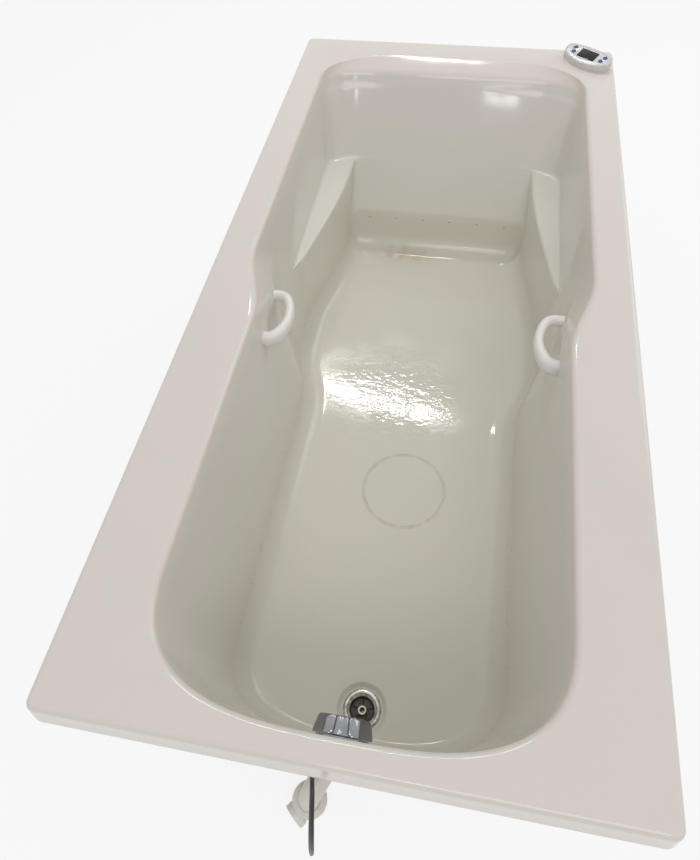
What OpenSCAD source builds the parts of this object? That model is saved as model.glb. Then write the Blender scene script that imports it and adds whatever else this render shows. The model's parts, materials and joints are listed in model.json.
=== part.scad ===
// Rectangular acrylic air bath on a steel leg frame, with grab handles, armrests,
// a keypad on the deck, a pop-up waste and a bottle trap. All sizes in millimetres.
// X runs across the bath, +Y towards the head end, +Z up, and the feet stand at z = 0.

/* [Rim] */
// Length of the rim over its top edge
rim_l = 1700; // [1690:5:1800]
// Width of the rim over its top edge
rim_w = 800; // [790:5:900]
// Height of the deck above the floor
rim_h = 580; // [575:5:640]
// Depth of the turned-down edge
lip_drop = 40; // [25:1:45]
// How far the turned-down edge flares out at its foot
lip_flare = 7; // [0:1:15]
// Radius between the deck and the turned-down edge
lip_r = 8; // [7:1:12]
// Radius of the rim's corners in plan
corner_r = 14; // [12:1:40]
// Wall of the moulded shell with its reinforcement
wall = 6; // [4:0.5:7]

/* [Basin] */
// Depth of the basin below the deck
// Height of the basin's floor above the ground
floor_h = 150; // [146:1:165]
// Width of the deck beside the foot half of the basin
foot_side_deck = 116; // [100:1:130]
// Width of the deck beside the head half of the basin
head_side_deck = 72; // [65:1:85]
// Inward slope of the side walls
side_draft = 0.085; // [0.05:0.005:0.11]
// Distance from the foot edge of the rim to the basin
foot_deck = 37; // [34:1:60]
// Inward slope of the foot wall
foot_draft = 0.07; // [0.03:0.005:0.1]
// Depth of the rounded foot end of the basin, in plan
foot_arc = 193; // [170:1:220]
// Distance from the head edge of the rim to the headrest band
head_deck = 66; // [60:1:90]
// Depth of the rounded head end of the opening, in plan
head_arc = 182; // [160:1:200]
// Radius of the edge between the deck and the basin
edge_r = 10; // [9:0.5:14]
// Radius between the walls and the floor
floor_r = 50; // [40:1:60]

/* [Back] */
// Width of the sloping headrest band
band_w = 52; // [40:1:60]
// How far the headrest band drops
band_drop = 20; // [12:1:25]
// Slope of the backrest, as run over drop
back_slope = 0.587; // [0.5:0.01:0.62]
// Height of the riser's top above the floor
riser_h = 105; // [95:1:130]
// Inward slope of the riser
riser_draft = 0.1; // [0.05:0.01:0.2]

/* [Waist, handle pockets and armrests] */
// Place along the bath where the narrow foot part starts to widen at the rim
waist_y = -170; // [-185:1:-150]
// Length of that widening
waist_l = 182; // [150:1:200]
// How far the widening moves to the head end below the rim
waist_shift = 82; // [60:1:95]
// Depth over which it moves, which makes the waist pads
pad_d = 78; // [66:1:84]
// Depth of the finger pockets behind the handles
pocket_w = 12; // [6:1:14]
// Depth of the armrest tops below the deck
arm_d = 200; // [190:1:215]
// Place along the bath where the armrests start
arm_y = 160; // [150:1:175]
// Width of the armrests' flat tops at their head end
arm_w = 63; // [50:1:70]
// Length of the armrests
arm_l = 446; // [430:1:480]
// Radius of the armrests' edges
arm_r = 8; // [6:1:10]

/* [Grab handles] */
// Distance between the feet of a handle
handle_span = 116; // [110:1:130]
// How far the middle of the grip stands off the wall
handle_reach = 35; // [34:1:50]
// Depth of the handles below the deck
handle_d = 78; // [70:1:90]
// How much nearer the foot the left handle sits
left_lag = 8; // [0:1:10]
// Thickness of the grip towards the wall
grip_t = 18; // [17:0.5:20]
// Height of the grip
grip_h = 23; // [20:0.5:26]
// How much thicker than that the handle is at its foot end
grip_foot = 1.3; // [1:0.05:1.4]
// How much thinner it is at its head end
grip_head = 0.78; // [0.7:0.02:1]
// Radius of the handle bolts
handle_bolt_r = 4; // [3:0.5:5]

/* [Waste] */
// Distance of the drain from the foot edge of the rim
drain_y = 133; // [131:1:170]
// Radius of the drain flange
drain_r = 36; // [34:0.5:38]
// Depth of the moulded dish round the drain
dish_h = 8; // [3:0.5:9]
// Radius of the drain's throat
throat_r = 23.5; // [22:0.5:24]
// Radius of the waste hole in the shell
waste_hole_r = 26.5; // [26.5:0.5:28]
// Travel of the plug lifter
lifter_travel = 12; // [8:1:14]
// Outer radius of the waste pipe
waste_pipe_r = 20; // [19:0.5:20.5]
// Distance from the drain to the trap
trap_reach = 172; // [165:1:200]
// Length of the nut on the trap's outlet
outlet_l = 13; // [12:1:20]

/* [Overflow] */
// Depth of the overflow below the deck
overflow_d = 75; // [75:1:100]
// Radius of the overflow knob where it meets its plate
knob_r = 40; // [36:1:42]
// Length of the overflow knob
knob_l = 23; // [18:1:28]
// Radius of the overflow hole in the shell
overflow_hole_r = 27; // [25:0.5:29]
// Radius of the knob's spindle
spindle_r = 5; // [4:0.5:6]
// Outer radius of the overflow hose
overflow_hose_r = 15; // [14:0.5:15.5]
// Radius of the pull cable's sheath
cable_r = 3; // [2.5:0.25:3.5]

/* [Air system] */
// Radius of the air holes
jet_r = 2; // [1.5:0.25:3]
// Distance between neighbouring air holes
jet_pitch = 76; // [70:1:80]
// Number of air holes in each side wall
side_jets = 12; // [6:1:12]
// Number of air holes in the riser
back_jets = 6; // [2:2:6]
// Outer radius of the air hose round the basin
air_hose_r = 11; // [9:0.5:13]
// Outer radius of the blower's hose
blower_hose_r = 16; // [14:0.5:18]
// Radius of the blower
blower_r = 68; // [55:1:72]
// Height of the blower
blower_h = 150; // [120:1:170]

/* [Keypad] */
// Length of the keypad housing
keypad_l = 126; // [116:1:132]
// Depth of the keypad housing
keypad_w = 56; // [52:1:64]
// Share of that depth in front of the screen's middle
keypad_near = 31; // [29:1:34]
// Height of the keypad at its middle
keypad_h = 21; // [18:0.5:26]
// Tilt of the keypad's face
keypad_tilt = 12; // [6:1:16]
// Turn of the keypad in plan
keypad_turn = -35; // [-45:1:-25]
// Radius of the buttons
button_r = 5.2; // [4:0.1:5.6]
// Travel of the buttons
button_travel = 0.8; // [0.4:0.1:1]

/* [Leg frame] */
// Side of the square tubes of the base frame
tube = 30; // [25:1:35]
// Wall of the square tubes
tube_t = 2; // [1.5:0.5:3]
// Distance between the middles of the two long rails
rail_span = 380; // [340:5:420]
// Thickness of the base board
board_t = 15; // [12:1:18]
// Side of the uprights
upright = 25; // [20:1:30]
// Radius of the levelling studs
stud_r = 6; // [5:0.5:8]
// Radius of the foot pads
pad_r = 25; // [20:1:32]

/* [Hidden] */
$fn = 64;

// small named fits
seat = 0.3;          // running clearance between curved neighbours
slip = 0.05;         // radial clearance of a pin that turns or slides
push = 0.2;          // radial clearance of a pipe in its socket
eps = 0.01;

// heights and widths that follow the rim and the ground
floor_z = floor_h;
basin_d = rim_h - floor_h;
riser_d = basin_d - riser_h;
foot_half_w = rim_w/2 - foot_side_deck;
head_half_w = rim_w/2 - head_side_deck;
under_z = floor_z - wall;
board_z = under_z - board_t;
rail_z = board_z - tube;
cross_z = rail_z - tube;
deck_under = rim_h - wall;
batten_t = 18;
batten_w = 40;
batten_x = rim_w/2 - lip_r - batten_w - 8;
batten_l = rim_l - 220;

function clamp01(t) = min(1, max(0, t));
function smooth(t) = let(u = clamp01(t)) u*u*(3 - 2*u);
function mix(a, b, t) = a + (b - a)*t;
function bell(t) = abs(t) >= 1 ? 0 : pow(cos(90*t), 2);
function unit(v) = v/norm(v);
function softmin(a, b, k) = let(h = clamp01(0.5 + (b - a)/(2*k))) mix(b, a, h) - k*h*(1 - h);

// ---- basin surface: half width, foot wall and backrest as functions of place and depth ----

foot_y = -rim_l/2 + foot_deck;
foot_arc_y = foot_y + foot_arc;
band_y = rim_l/2 - head_deck;
back_y0 = band_y - band_w;
handle_y = waist_y + 84;
pocket_half_l = 52;
pocket_half_h = 42;

function back_y(d) = d < riser_d
    ? back_y0 - back_slope*(d - band_drop)
    : back_y0 - back_slope*(riser_d - band_drop) - riser_draft*(d - riser_d);
function foot_wall_y(d) = foot_y + foot_draft*d;
function pocket(y, d) = pocket_w*bell((y - handle_y)/pocket_half_l)
    *bell((d - handle_d - 12)/pocket_half_h);
function wall_x(y, d) =
    let(s = waist_shift*clamp01(d/pad_d), t = smooth((y - waist_y - s)/waist_l))
    mix(foot_half_w, head_half_w, t) - side_draft*d + pocket(y, d);
function arm_edge(y) = head_half_w - side_draft*arm_d - arm_w*pow(sin(90*clamp01((y - arm_y)/arm_l)), 1.15);
// Inner face of the armrest at a depth, rounded under its edge and thinning out at its tip
function arm_x(y, d) = y <= arm_y ? rim_w
    : let(r = arm_r*smooth((y - arm_y)/60), e = clamp01((d - arm_d)/max(r, eps)))
        arm_edge(y) - r*sqrt(1 - (1 - e)*(1 - e));
function arm_cove(y, d) = y <= arm_y ? 0
    : let(e = clamp01((arm_d - d)/arm_r), top = wall_x(y, arm_d) - arm_edge(y))
        min(arm_r*(1 - sqrt(1 - (1 - e)*(1 - e))), max(top, 0)/2);
function corner_blend(y, d) = 2 + smooth((y - back_y(d) + 130)/60)
    *mix(22, 52, clamp01((d - arm_d)/(riser_d - arm_d)));

// Half width with the armrest, whose top is at arm_d: under is 0 above it and 1 below
function side_x(y, d, under) = under == 0 ? wall_x(y, d) - arm_cove(y, d)
    : softmin(wall_x(y, d), arm_x(y, d), 2);

// A level is [depth at the sides, depth at the head, head end, head arc, head power,
//             outward offset, under the armrest, floor inset]
foot_angles = [90, 86.8, 78, 69, 60, 50, 40, 30, 20, 10, 0];
arc_steps = 10;
foot_fillet = 0.45;      // share of the floor radius along the bath at the foot wall
edge_steps = [0, 30, 60, 90];
band_share = [0, 0.1, 0.62, 0.93];
head_power = [3, 3.2, 4.2, 5];
function deep_arc(d) = mix(122, 72, clamp01((d - 40)/290));
function wall_level(d, under = 0) = [d, d, back_y(d), deep_arc(d), 4.6, 0, under, 0];

levels = concat(
    [for (i = [0:3]) let(a = edge_steps[i], q = band_share[i])
        [edge_r*(1 - cos(a)), band_drop*pow(q, 1.2), mix(band_y, back_y0, q),
         mix(head_arc, 132, q), head_power[i], edge_r*(1 - sin(a)), 0, 0]],
    [for (d = [18, 30]) let(h = d + 10) [d, h, back_y(h), 126 - (d - 18)/3, 5, 0, 0, 0]],
    [for (d = [50, pad_d - 4, pad_d + 4, 98, 120, 155]) wall_level(d)],
    [for (e = [1, 0.3, 0.02]) wall_level(arm_d - e*arm_r, 0)],
    [for (e = [0.01, 0.12, 0.36, 1]) wall_level(arm_d + e*arm_r, 1)],
    [for (d = [mix(arm_d + arm_r, riser_d - 5, 0.55), riser_d - 5, riser_d + 6]) wall_level(d, 1)],
    [for (a = [0:22.5:90])
        let(d = basin_d - floor_r*(1 - sin(a)), l = wall_level(d, 1))
        [for (i = [0:7]) i == 7 ? floor_r*(1 - cos(a)) : l[i]]]);

side_end = rim_l/2 - 450;
side_ys = concat(
    [for (i = [0:5]) mix(foot_arc_y + 40, waist_y - 50, i/5)],
    [for (y = [waist_y - 20:30:arm_y + 30]) y],
    [for (i = [1:4]) mix(arm_y + 30, side_end, i/4)]);
end_share = [0.28, 0.52, 0.76];

// One point of a level: the foot and head ends are superelliptic arcs
function level_pt(l, y, c, h = 0) =
    let(d = mix(l[0], l[1], h))
    [l[6] == 0 ? (side_x(y, d, 0) + l[5])*c
        : softmin((wall_x(y, d) - l[7])*c, arm_x(y, d) - l[7], corner_blend(y, d)), y, rim_h - d];
function foot_pts(l) = [for (j = [0:arc_steps])
    let(a = foot_angles[j], b = foot_arc - foot_draft*l[0] + l[5] - foot_fillet*l[7], n = 2/3,
        y = foot_arc_y - b*(j < 2 ? 1 : pow(sin(a), n)))
    level_pt(l, y, pow(abs(cos(a)), n))];
function head_pts(l) = [for (j = [0:arc_steps])
    let(a = 90*j/arc_steps, b = l[3] - l[7], n = 2/l[4], s = pow(sin(a), n), y = l[2] - l[3] + b*s)
    level_pt(l, y, j == arc_steps ? 0 : pow(cos(a), n), smooth(s))];
function side_pts(l) = concat(
    [for (y = side_ys) level_pt(l, y, 1)],
    [for (t = end_share) level_pt(l, mix(side_end, l[2] - l[3], t), 1)]);
function closed(half) = concat(half, [for (i = [len(half) - 2:-1:1]) [-half[i][0], half[i][1], half[i][2]]]);
function level_ring(l) = closed(concat(foot_pts(l), side_pts(l), head_pts(l)));

// Rim rings: a rectangle with round corners and as many points as a level
function end_edge(hw, hl, r, s) = concat(
    [for (j = [0:4]) [(hw - r)*j/4, s*hl]],
    [for (a = [30, 60, 90]) [hw - r + r*sin(a), s*(hl - r + r*cos(a))]],
    [for (j = [1:3]) [hw, s*mix(hl - r, hl - 160, j/3)]]);
function rim_ring(hw, hl, z) =
    let(foot = end_edge(hw, hl, corner_r + hw - rim_w/2, -1),
        head = end_edge(hw, hl, corner_r + hw - rim_w/2, 1),
        n = len(head), top = rim_l/2 - 160,
        side = concat([for (y = side_ys) [hw, y]], [for (t = end_share) [hw, mix(side_end, top, t)]]))
    closed([for (p = concat(foot, side, [for (i = [n - 1:-1:0]) head[i]])) [p[0], p[1], z]]);

// Outer skin: each basin point moved out by the wall along the surface normal
basin = [for (l = levels) level_ring(l)];
ring_n = len(basin[0]);
function skin_normal(k, i) =
    let(a = basin[k][(i + 1) % ring_n] - basin[k][(i + ring_n - 1) % ring_n],
        b = basin[min(k + 1, len(basin) - 1)][i] - basin[max(k - 1, 0)][i])
    unit(cross(b, a));
skin_levels = [0, 3, 5, 7, 8, 9, 11, 12, 14, 15, 16, 18, 19, 20, 21, 22, 24, 25, 26];
skin = [for (k = skin_levels) [for (i = [0:ring_n - 1])
    basin[k][i] + wall*(k == 0 || k == len(basin) - 1 ? [0, 0, -1] : skin_normal(k, i))]];

shell_rings = concat(
    [for (k = [len(basin) - 1:-1:0]) basin[k]],
    [for (a = [0, 30, 60, 90])
        rim_ring(rim_w/2 - lip_r*(1 - sin(a)), rim_l/2 - lip_r*(1 - sin(a)), rim_h - lip_r*(1 - cos(a)))],
    [for (t = [0, wall])
        rim_ring(rim_w/2 + lip_flare - t, rim_l/2 + lip_flare - t, rim_h - lip_drop)],
    [rim_ring(rim_w/2 - wall, rim_l/2 - wall, deck_under)],
    skin);

// Flat end of a mirrored ring as strips across it, so that no long thin faces meet at the drain
function ladder(n) = concat([[0, 1, 2, n - 2, n - 1]],
    [for (i = [2:n/2 - 2]) [i, i + 1, n - i - 1, n - i]], [[n/2 - 1, n/2, n/2 + 1]]);
function one_face(n) = [[for (i = [0:n - 1]) i]];
function turned(faces, first) = [for (f = faces) [for (i = [len(f) - 1:-1:0]) f[i] + first]];

// Closes a stack of rings with equal counts into a solid
module ring_stack(rings, strips = false) {
    n = len(rings[0]);
    m = len(rings);
    points = [for (r = rings) for (p = r) p];
    sides = [for (k = [0:m - 2]) for (i = [0:n - 1]) let(j = (i + 1) % n, a = k*n, b = a + n)
        each [[a + i, b + i, b + j], [a + i, b + j, a + j]]];
    end = strips ? ladder(n) : one_face(n);
    polyhedron(points, concat(end, sides, turned(end, (m - 1)*n)), convexity = 12);
}

// ---- frames on the walls ----

// Point, and outward normal, of the side wall at a depth
function wall_pt(y, d) =
    let(b = foot_arc - foot_draft*d, q = clamp01((foot_arc_y - y)/b), c = pow(1 - pow(q, 3), 1/3))
    [side_x(y, d, d > arm_d ? 1 : 0)*c, y, rim_h - d];
function wall_normal(y, d) =
    unit(cross(wall_pt(y, d + 4) - wall_pt(y, d - 4), wall_pt(y + 4, d) - wall_pt(y - 4, d)));

// Turns +Z to a direction
module along(v) {
    rotate([0, acos(v[2]/norm(v)), atan2(v[1], v[0])]) children();
}
module on_side_wall(y, d) {
    translate(wall_pt(y, d)) along(wall_normal(y, d)) children();
}
// Place on the flat facets of the lower side wall, and its outward normal
function facet_x(y, d) = lookup(y, concat([[foot_arc_y, wall_x(foot_arc_y, d)]],
    [for (q = side_ys) [q, side_x(q, d, 1)]]));
function facet_pt(y, d) = [facet_x(y, d), y, rim_h - d];
function facet_normal(y, d) =
    unit(cross(facet_pt(y, d + 4) - facet_pt(y, d - 4), facet_pt(y + 1, d) - facet_pt(y - 1, d)));
module on_facet(y, d) {
    translate(facet_pt(y, d)) along(facet_normal(y, d)) children();
}
// The same on the riser, whose facets run between the points of a level
function riser_y(x, d) = lookup(abs(x), [for (p = head_pts(wall_level(d, 1))) [p[0], p[1]]]);
function riser_normal(x) = unit([(riser_y(x - 1, jet_head_d) - riser_y(x + 1, jet_head_d))/2, 1,
    riser_y(x, jet_head_d + 4)/8 - riser_y(x, jet_head_d - 4)/8]);
module on_riser(x) {
    translate([x, riser_y(x, jet_head_d), rim_h - jet_head_d]) along(riser_normal(x)) children();
}
// +Z of this frame points into the basin
module on_foot_wall(d) {
    translate([0, foot_wall_y(d), rim_h - d]) rotate([-90 + atan(foot_draft), 0, 0]) children();
}

// ---- pipes and hoses ----

module pipe(r, t, l) {
    difference() {
        cylinder(r = r, h = l);
        translate([0, 0, -1]) cylinder(r = r - t, h = l + 2);
    }
}

// Smooth route through hand-chosen points (Catmull-Rom)
function route_pt(p, i, t) =
    let(n = len(p), a = p[max(i - 1, 0)], b = p[i], c = p[i + 1], e = p[min(i + 2, n - 1)])
    0.5*(2*b + (c - a)*t + (2*a - 5*b + 4*c - e)*t*t + (3*b - a - 3*c + e)*t*t*t);
function route(p, steps) = concat(
    [for (i = [0:len(p) - 2]) for (k = [0:steps - 1]) route_pt(p, i, k/steps)], [p[len(p) - 1]]);
function tangent(p, i) = unit(p[min(i + 1, len(p) - 1)] - p[max(i - 1, 0)]);
// Frame carried along the route without twist
function carried(p, i, u) = i >= len(p) ? [] :
    let(t = tangent(p, i), v = unit(u - (u*t)*t)) concat([v], carried(p, i + 1, v));
function tube_rings(p, r, sides, u0) =
    let(us = carried(p, 0, u0))
    [for (i = [0:len(p) - 1]) let(t = tangent(p, i), u = us[i], v = cross(t, u))
        [for (k = [0:sides - 1]) p[i] + r*(cos(360*k/sides)*u - sin(360*k/sides)*v)]];
module swept(p, r, sides, u0) {
    ring_stack(tube_rings(p, r, sides, u0));
}

// ---- pull cable: from the overflow body, out below the rim and back to the waste body ----

drain_at = [0, -rim_l/2 + drain_y, floor_z];
// Each point is [across, out from the rim's foot end, height], on one upright plane where it shows
cable_low = 113;
cable_high = 470;
cable_shape = [[-25.4, -14.4, 472.6], [-30, -10, 466], [-33.5, 4, 460], [-30, 22, 456], [-26.5, 50, 437],
    [-24.5, 75, 403], [-26, 88, 360], [-31.5, 91, 312], [-39, 85, 264], [-47.5, 68, 220],
    [-56, 42, 184], [-65, 8, 157], [-74.5, -29, 138], [-82, -64, 126], [-79, -94, 119],
    [-64, -112, 115], [-46, -117, 113]];
cable_stretch = (rim_h - floor_h - 73)/(cable_high - cable_low);
cable_pts = [for (p = cable_shape)
    [p[0], -rim_l/2 - p[1], floor_h - 37 + (p[2] - cable_low)*cable_stretch]];
cable_route = route(cable_pts, 3);
cable_reach = -min([for (r = tube_rings(cable_route, cable_r, 8, [0, 0, 1])) for (p = r) p[1]]);

// The rim is set off towards the head so that the origin lies below the middle of the whole
rim_head = rim_l/2 + lip_flare;
offset_y = (cable_reach - rim_head)/2;
module placed() {
    translate([0, offset_y, 0]) children();
}

// ---- shell ----

handle_feet = [handle_y - handle_span/2, handle_y + handle_span/2];
keypad_at = [rim_w/2 - 69, rim_l/2 - 67, rim_h];
keypad_stem_r = 12;
jet_side_d = basin_d - floor_r - 8;
jet_head_d = riser_d + 15;
dish_r = 48;
flange_seat = 2.5;
drain_sink = dish_h - flange_seat;     // how far the whole waste sits below the flat floor
waste_at = drain_at - [0, 0, drain_sink];
jet_ys = [for (i = [0:side_jets - 1]) foot_arc_y + 6 + jet_pitch*i];
jet_xs = [for (i = [0:back_jets - 1]) jet_pitch*(i - (back_jets - 1)/2)];

module both_sides() {
    children();
    mirror([1, 0, 0]) children();
}

module tub_shell() color([0.93, 0.92, 0.90]) placed() difference() {
    union() {
        ring_stack(shell_rings, true);
        translate(waste_at - [0, 0, wall]) cylinder(r = dish_r + wall, h = wall + drain_sink - wall/2);
    }
    translate(drain_at - [0, 0, dish_h]) cylinder(r1 = dish_r - 8, r2 = dish_r, h = dish_h);
    translate(drain_at - [0, 0, eps]) cylinder(r = dish_r, h = 4);
    translate(drain_at - [0, 0, dish_h + wall + 10]) cylinder(r = waste_hole_r, h = wall + 20);
    on_foot_wall(overflow_d) translate([0, 0, -wall - 12]) cylinder(r = overflow_hole_r, h = wall + 24);
    each_handle() translate([0, 0, -8]) cylinder(r = handle_bolt_r + 0.5, h = wall + 16);
    both_sides() for (y = jet_ys)
        on_facet(y, jet_side_d) translate([0, 0, -6]) cylinder(r = jet_r, h = wall + 12, $fn = 16);
    for (x = jet_xs) on_riser(x) translate([0, 0, -6]) cylinder(r = jet_r, h = wall + 12, $fn = 16);
    translate([keypad_at[0], keypad_at[1], deck_under - 10]) cylinder(r = keypad_stem_r + 1, h = 30);
}

// ---- base board and leg frame ----

board_y = [drain_at[1] + 65, back_y(riser_d) - 90];
board_w = rail_span + tube;
rail_y = [drain_at[1] + 65, rim_l/2 - 60];
cross_ys = [drain_at[1] + 90, 0, rim_l/2 - 210];
cross_l = rim_w - 40;
stud_x = rim_w/2 - 75;
upright_x = batten_x + batten_w/2;
foot_h = 12;
nut_h = 10;

module base_board() color([0.72, 0.62, 0.46]) placed()
    translate([-board_w/2, board_y[0], board_z]) cube([board_w, board_y[1] - board_y[0], board_t]);

module rim_batten() color([0.78, 0.66, 0.47]) placed()
    translate([batten_x, -batten_l/2, deck_under - batten_t]) cube([batten_w, batten_l, batten_t]);
module rim_batten_left() mirror([1, 0, 0]) rim_batten();
module rim_batten_right() rim_batten();

// Square tube along +Y, its middle on x = 0 and its underside on z = 0
module square_tube(side, t, l) {
    difference() {
        translate([-side/2, 0, 0]) cube([side, l, side]);
        translate([-side/2 + t, -1, t]) cube([side - 2*t, l + 2, side - 2*t]);
    }
}
module frame_rail() color([0.35, 0.37, 0.40]) placed()
    translate([rail_span/2, rail_y[0], rail_z]) square_tube(tube, tube_t, rail_y[1] - rail_y[0]);
module frame_rail_left() mirror([1, 0, 0]) frame_rail();
module frame_rail_right() frame_rail();

module frame_cross(y) color([0.35, 0.37, 0.40]) placed() difference() {
    translate([cross_l/2, y, cross_z]) rotate([0, 0, 90]) square_tube(tube, tube_t, cross_l);
    for (s = [-1, 1]) translate([s*stud_x, y, cross_z - 1]) cylinder(r = stud_r + 0.5, h = tube + 2);
}
module frame_cross_foot() frame_cross(cross_ys[0]);
module frame_cross_middle() frame_cross(cross_ys[1]);
module frame_cross_head() frame_cross(cross_ys[2]);

// An upright with its top plate under the batten
module rim_upright(y, s) color([0.35, 0.37, 0.40]) placed() translate([s*upright_x, y, rail_z]) {
    difference() {
        translate([-upright/2, -upright/2, 0]) cube([upright, upright, deck_under - batten_t - 3 - rail_z]);
        translate([-upright/2 + tube_t, -upright/2 + tube_t, -1])
            cube([upright - 2*tube_t, upright - 2*tube_t, rim_h]);
    }
    translate([-upright*0.8, -upright*1.4, deck_under - batten_t - 3 - rail_z])
        cube([upright*1.6, upright*2.8, 3]);
}
module upright_foot_left() rim_upright(cross_ys[0], -1);
module upright_foot_right() rim_upright(cross_ys[0], 1);
module upright_head_left() rim_upright(cross_ys[2], -1);
module upright_head_right() rim_upright(cross_ys[2], 1);

// Levelling feet: a pad with a socket for the stud's end, the stud and its two nuts
foot_places = [for (y = cross_ys) for (s = [-1, 1]) [s*stud_x, y]];
module foot_pad(i) color([0.12, 0.12, 0.13]) placed() translate(foot_places[i]) rotate_extrude()
    difference() {
        polygon([[0, 0], [pad_r, 0], [pad_r, 4], [stud_r + 6, foot_h], [0, foot_h]]);
        translate([0, 4]) square([stud_r + slip, foot_h]);
    }
module foot_pad_1() foot_pad(0);
module foot_pad_2() foot_pad(1);
module foot_pad_3() foot_pad(2);
module foot_pad_4() foot_pad(3);
module foot_pad_5() foot_pad(4);
module foot_pad_6() foot_pad(5);
module foot_studs() color([0.75, 0.76, 0.78]) placed() for (p = foot_places)
    translate([p[0], p[1], 4]) cylinder(r = stud_r, h = rail_z + nut_h + 8 - 4);
module hex_nut(r, h, hole) {
    difference() {
        cylinder(r = r, h = h, $fn = 6);
        translate([0, 0, -1]) cylinder(r = hole, h = h + 2, $fn = 32);
    }
}
module foot_nuts() color([0.80, 0.80, 0.78]) placed()
    for (p = foot_places) for (z = [cross_z - nut_h, rail_z])
    translate([p[0], p[1], z]) hex_nut(stud_r*1.8, nut_h, stud_r + slip);

// ---- grab handles ----

handle_foot_x = wall_pt(handle_feet[0], handle_d)[0];
corner_a = 62;                                    // turn of the handle's corner arcs
corner_arc_r = 24;
crown_r = corner_arc_r + (handle_span/2 - corner_arc_r)/cos(corner_a);
crown_x = handle_foot_x - handle_reach + crown_r;
corner_x = crown_x - (crown_r - corner_arc_r)*sin(corner_a);
bolt_depth = 14;
washer_r = handle_bolt_r*2;

// +Z of this frame points straight out of the basin, along the handle's bolts
module at_handle_foot(y) {
    translate([wall_pt(y, handle_d)[0], y, rim_h - handle_d]) rotate([0, 90, 0]) children();
}
// At both feet of both handles; $y is the foot's place
module each_handle() {
    for (s = [0, 1], y = handle_feet) mirror([s, 0, 0])
        let($y = y - s*left_lag) at_handle_foot($y) children();
}
// Middle line of a handle: out of the wall, round a tight corner, along the crown and back
function handle_corner(s, steps) = [for (j = steps) let(a = 90 + corner_a*j/5)
    [corner_x + corner_arc_r*cos(a), s*(handle_span/2 - corner_arc_r + corner_arc_r*sin(a))]];
handle_line = concat([[corner_x + 40, -handle_span/2]], handle_corner(-1, [0:4]),
    [for (j = [-5:5]) let(a = 180 - (90 - corner_a)*j/5) [crown_x + crown_r*cos(a), crown_r*sin(a)]],
    handle_corner(1, [4:-1:0]), [[corner_x + 40, handle_span/2]]);
function grip_rings(p) = let(us = carried(p, 0, [0, 0, 1]))
    [for (i = [0:len(p) - 1])
        let(t = tangent(p, i), u = us[i], v = cross(t, u),
            k = mix(grip_foot, grip_head, 0.5 + p[i][1]/handle_span))
        [for (a = [0:22.5:337.5]) p[i] + k/2*(grip_h*cos(a)*u - grip_t*sin(a)*v)]];
module grab_handle(lag = 0) color([0.95, 0.94, 0.92]) placed() difference() {
    translate([0, handle_y - lag, rim_h - handle_d])
        ring_stack(grip_rings([for (p = handle_line) [p[0], p[1], 0]]));
    for (y = handle_feet) {
        on_side_wall(y - lag, handle_d) translate([-40, -40, -2*seat]) cube([80, 80, 60]);
        at_handle_foot(y - lag) translate([0, 0, -bolt_depth])
            cylinder(r = handle_bolt_r + slip, h = bolt_depth + 1);
    }
}
module grab_handle_left() mirror([1, 0, 0]) grab_handle(left_lag);
module grab_handle_right() grab_handle();

// Space from the basin side of the wall to a washer's flat face, allowing for the wall's slant
function washer_at(y) = let(n = wall_normal(y, handle_d)) (wall + washer_r*norm([n[1], n[2]]))/n[0] + 2.2;
module handle_bolts() color([0.78, 0.79, 0.80]) placed() each_handle() {
    translate([0, 0, 1 - bolt_depth]) cylinder(r = handle_bolt_r, h = bolt_depth + washer_at($y) + 8);
    translate([0, 0, washer_at($y)]) cylinder(r = washer_r, h = 2);
    translate([0, 0, washer_at($y) + 2]) cylinder(r = handle_bolt_r*1.8, h = 5, $fn = 6);
}

// ---- waste ----

neck_r = throat_r + 2;
chamber_r = neck_r + 4.5;
chamber_z = -58;         // underside of the waste body, from the basin floor
arm_z = -38;             // middle of the waste pipe, from the basin floor
arm_turn = atan2(-155, -74);
hose_turn = -50;
cable_turn = -160;
socket_l = 46;
bend_r = 32;
waste_t = 2;

module at_drain() placed() translate(waste_at) children();

module drain_flange() color([0.86, 0.87, 0.88]) at_drain() rotate_extrude() difference() {
    polygon([[throat_r, -32], [neck_r, -32], [neck_r, -flange_seat], [drain_r, -flange_seat],
             [drain_r, -flange_seat + 1], [drain_r - 4, 0.8], [drain_r - 7, 0.6],
             [throat_r + 3, -2], [throat_r, -4.5]]);
    translate([0, -40]) square([throat_r, 60]);
}

// Spoked grid low in the throat, with the tube that guides the lifter
hub_r = 8;
lifter_r = 4.5;
module drain_strainer() color([0.22, 0.22, 0.22]) at_drain() difference() {
    union() {
        translate([0, 0, -18]) pipe(throat_r - push, 2.5, 5);
        for (i = [0:4]) rotate([0, 0, 72*i + 20]) translate([hub_r - 1, -1.5, -18])
            cube([throat_r - hub_r - 1, 3, 5]);
        translate([0, 0, -36]) cylinder(r = hub_r, h = 26);
    }
    translate([0, 0, -40]) cylinder(r = lifter_r + slip, h = 60);
}
module plug_lifter() color([0.80, 0.78, 0.70]) at_drain() translate([0, 0, -49]) {
    cylinder(r = lifter_r, h = 24);
    translate([0, 0, -3]) cylinder(r = lifter_r + 3, h = 3);
}
module drain_gasket() color([0.10, 0.10, 0.11]) at_drain() translate([0, 0, -wall - 3])
    difference() {
        cylinder(r = drain_r + 2, h = 3);
        translate([0, 0, -1]) cylinder(r = neck_r + seat, h = 5);
    }

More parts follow.
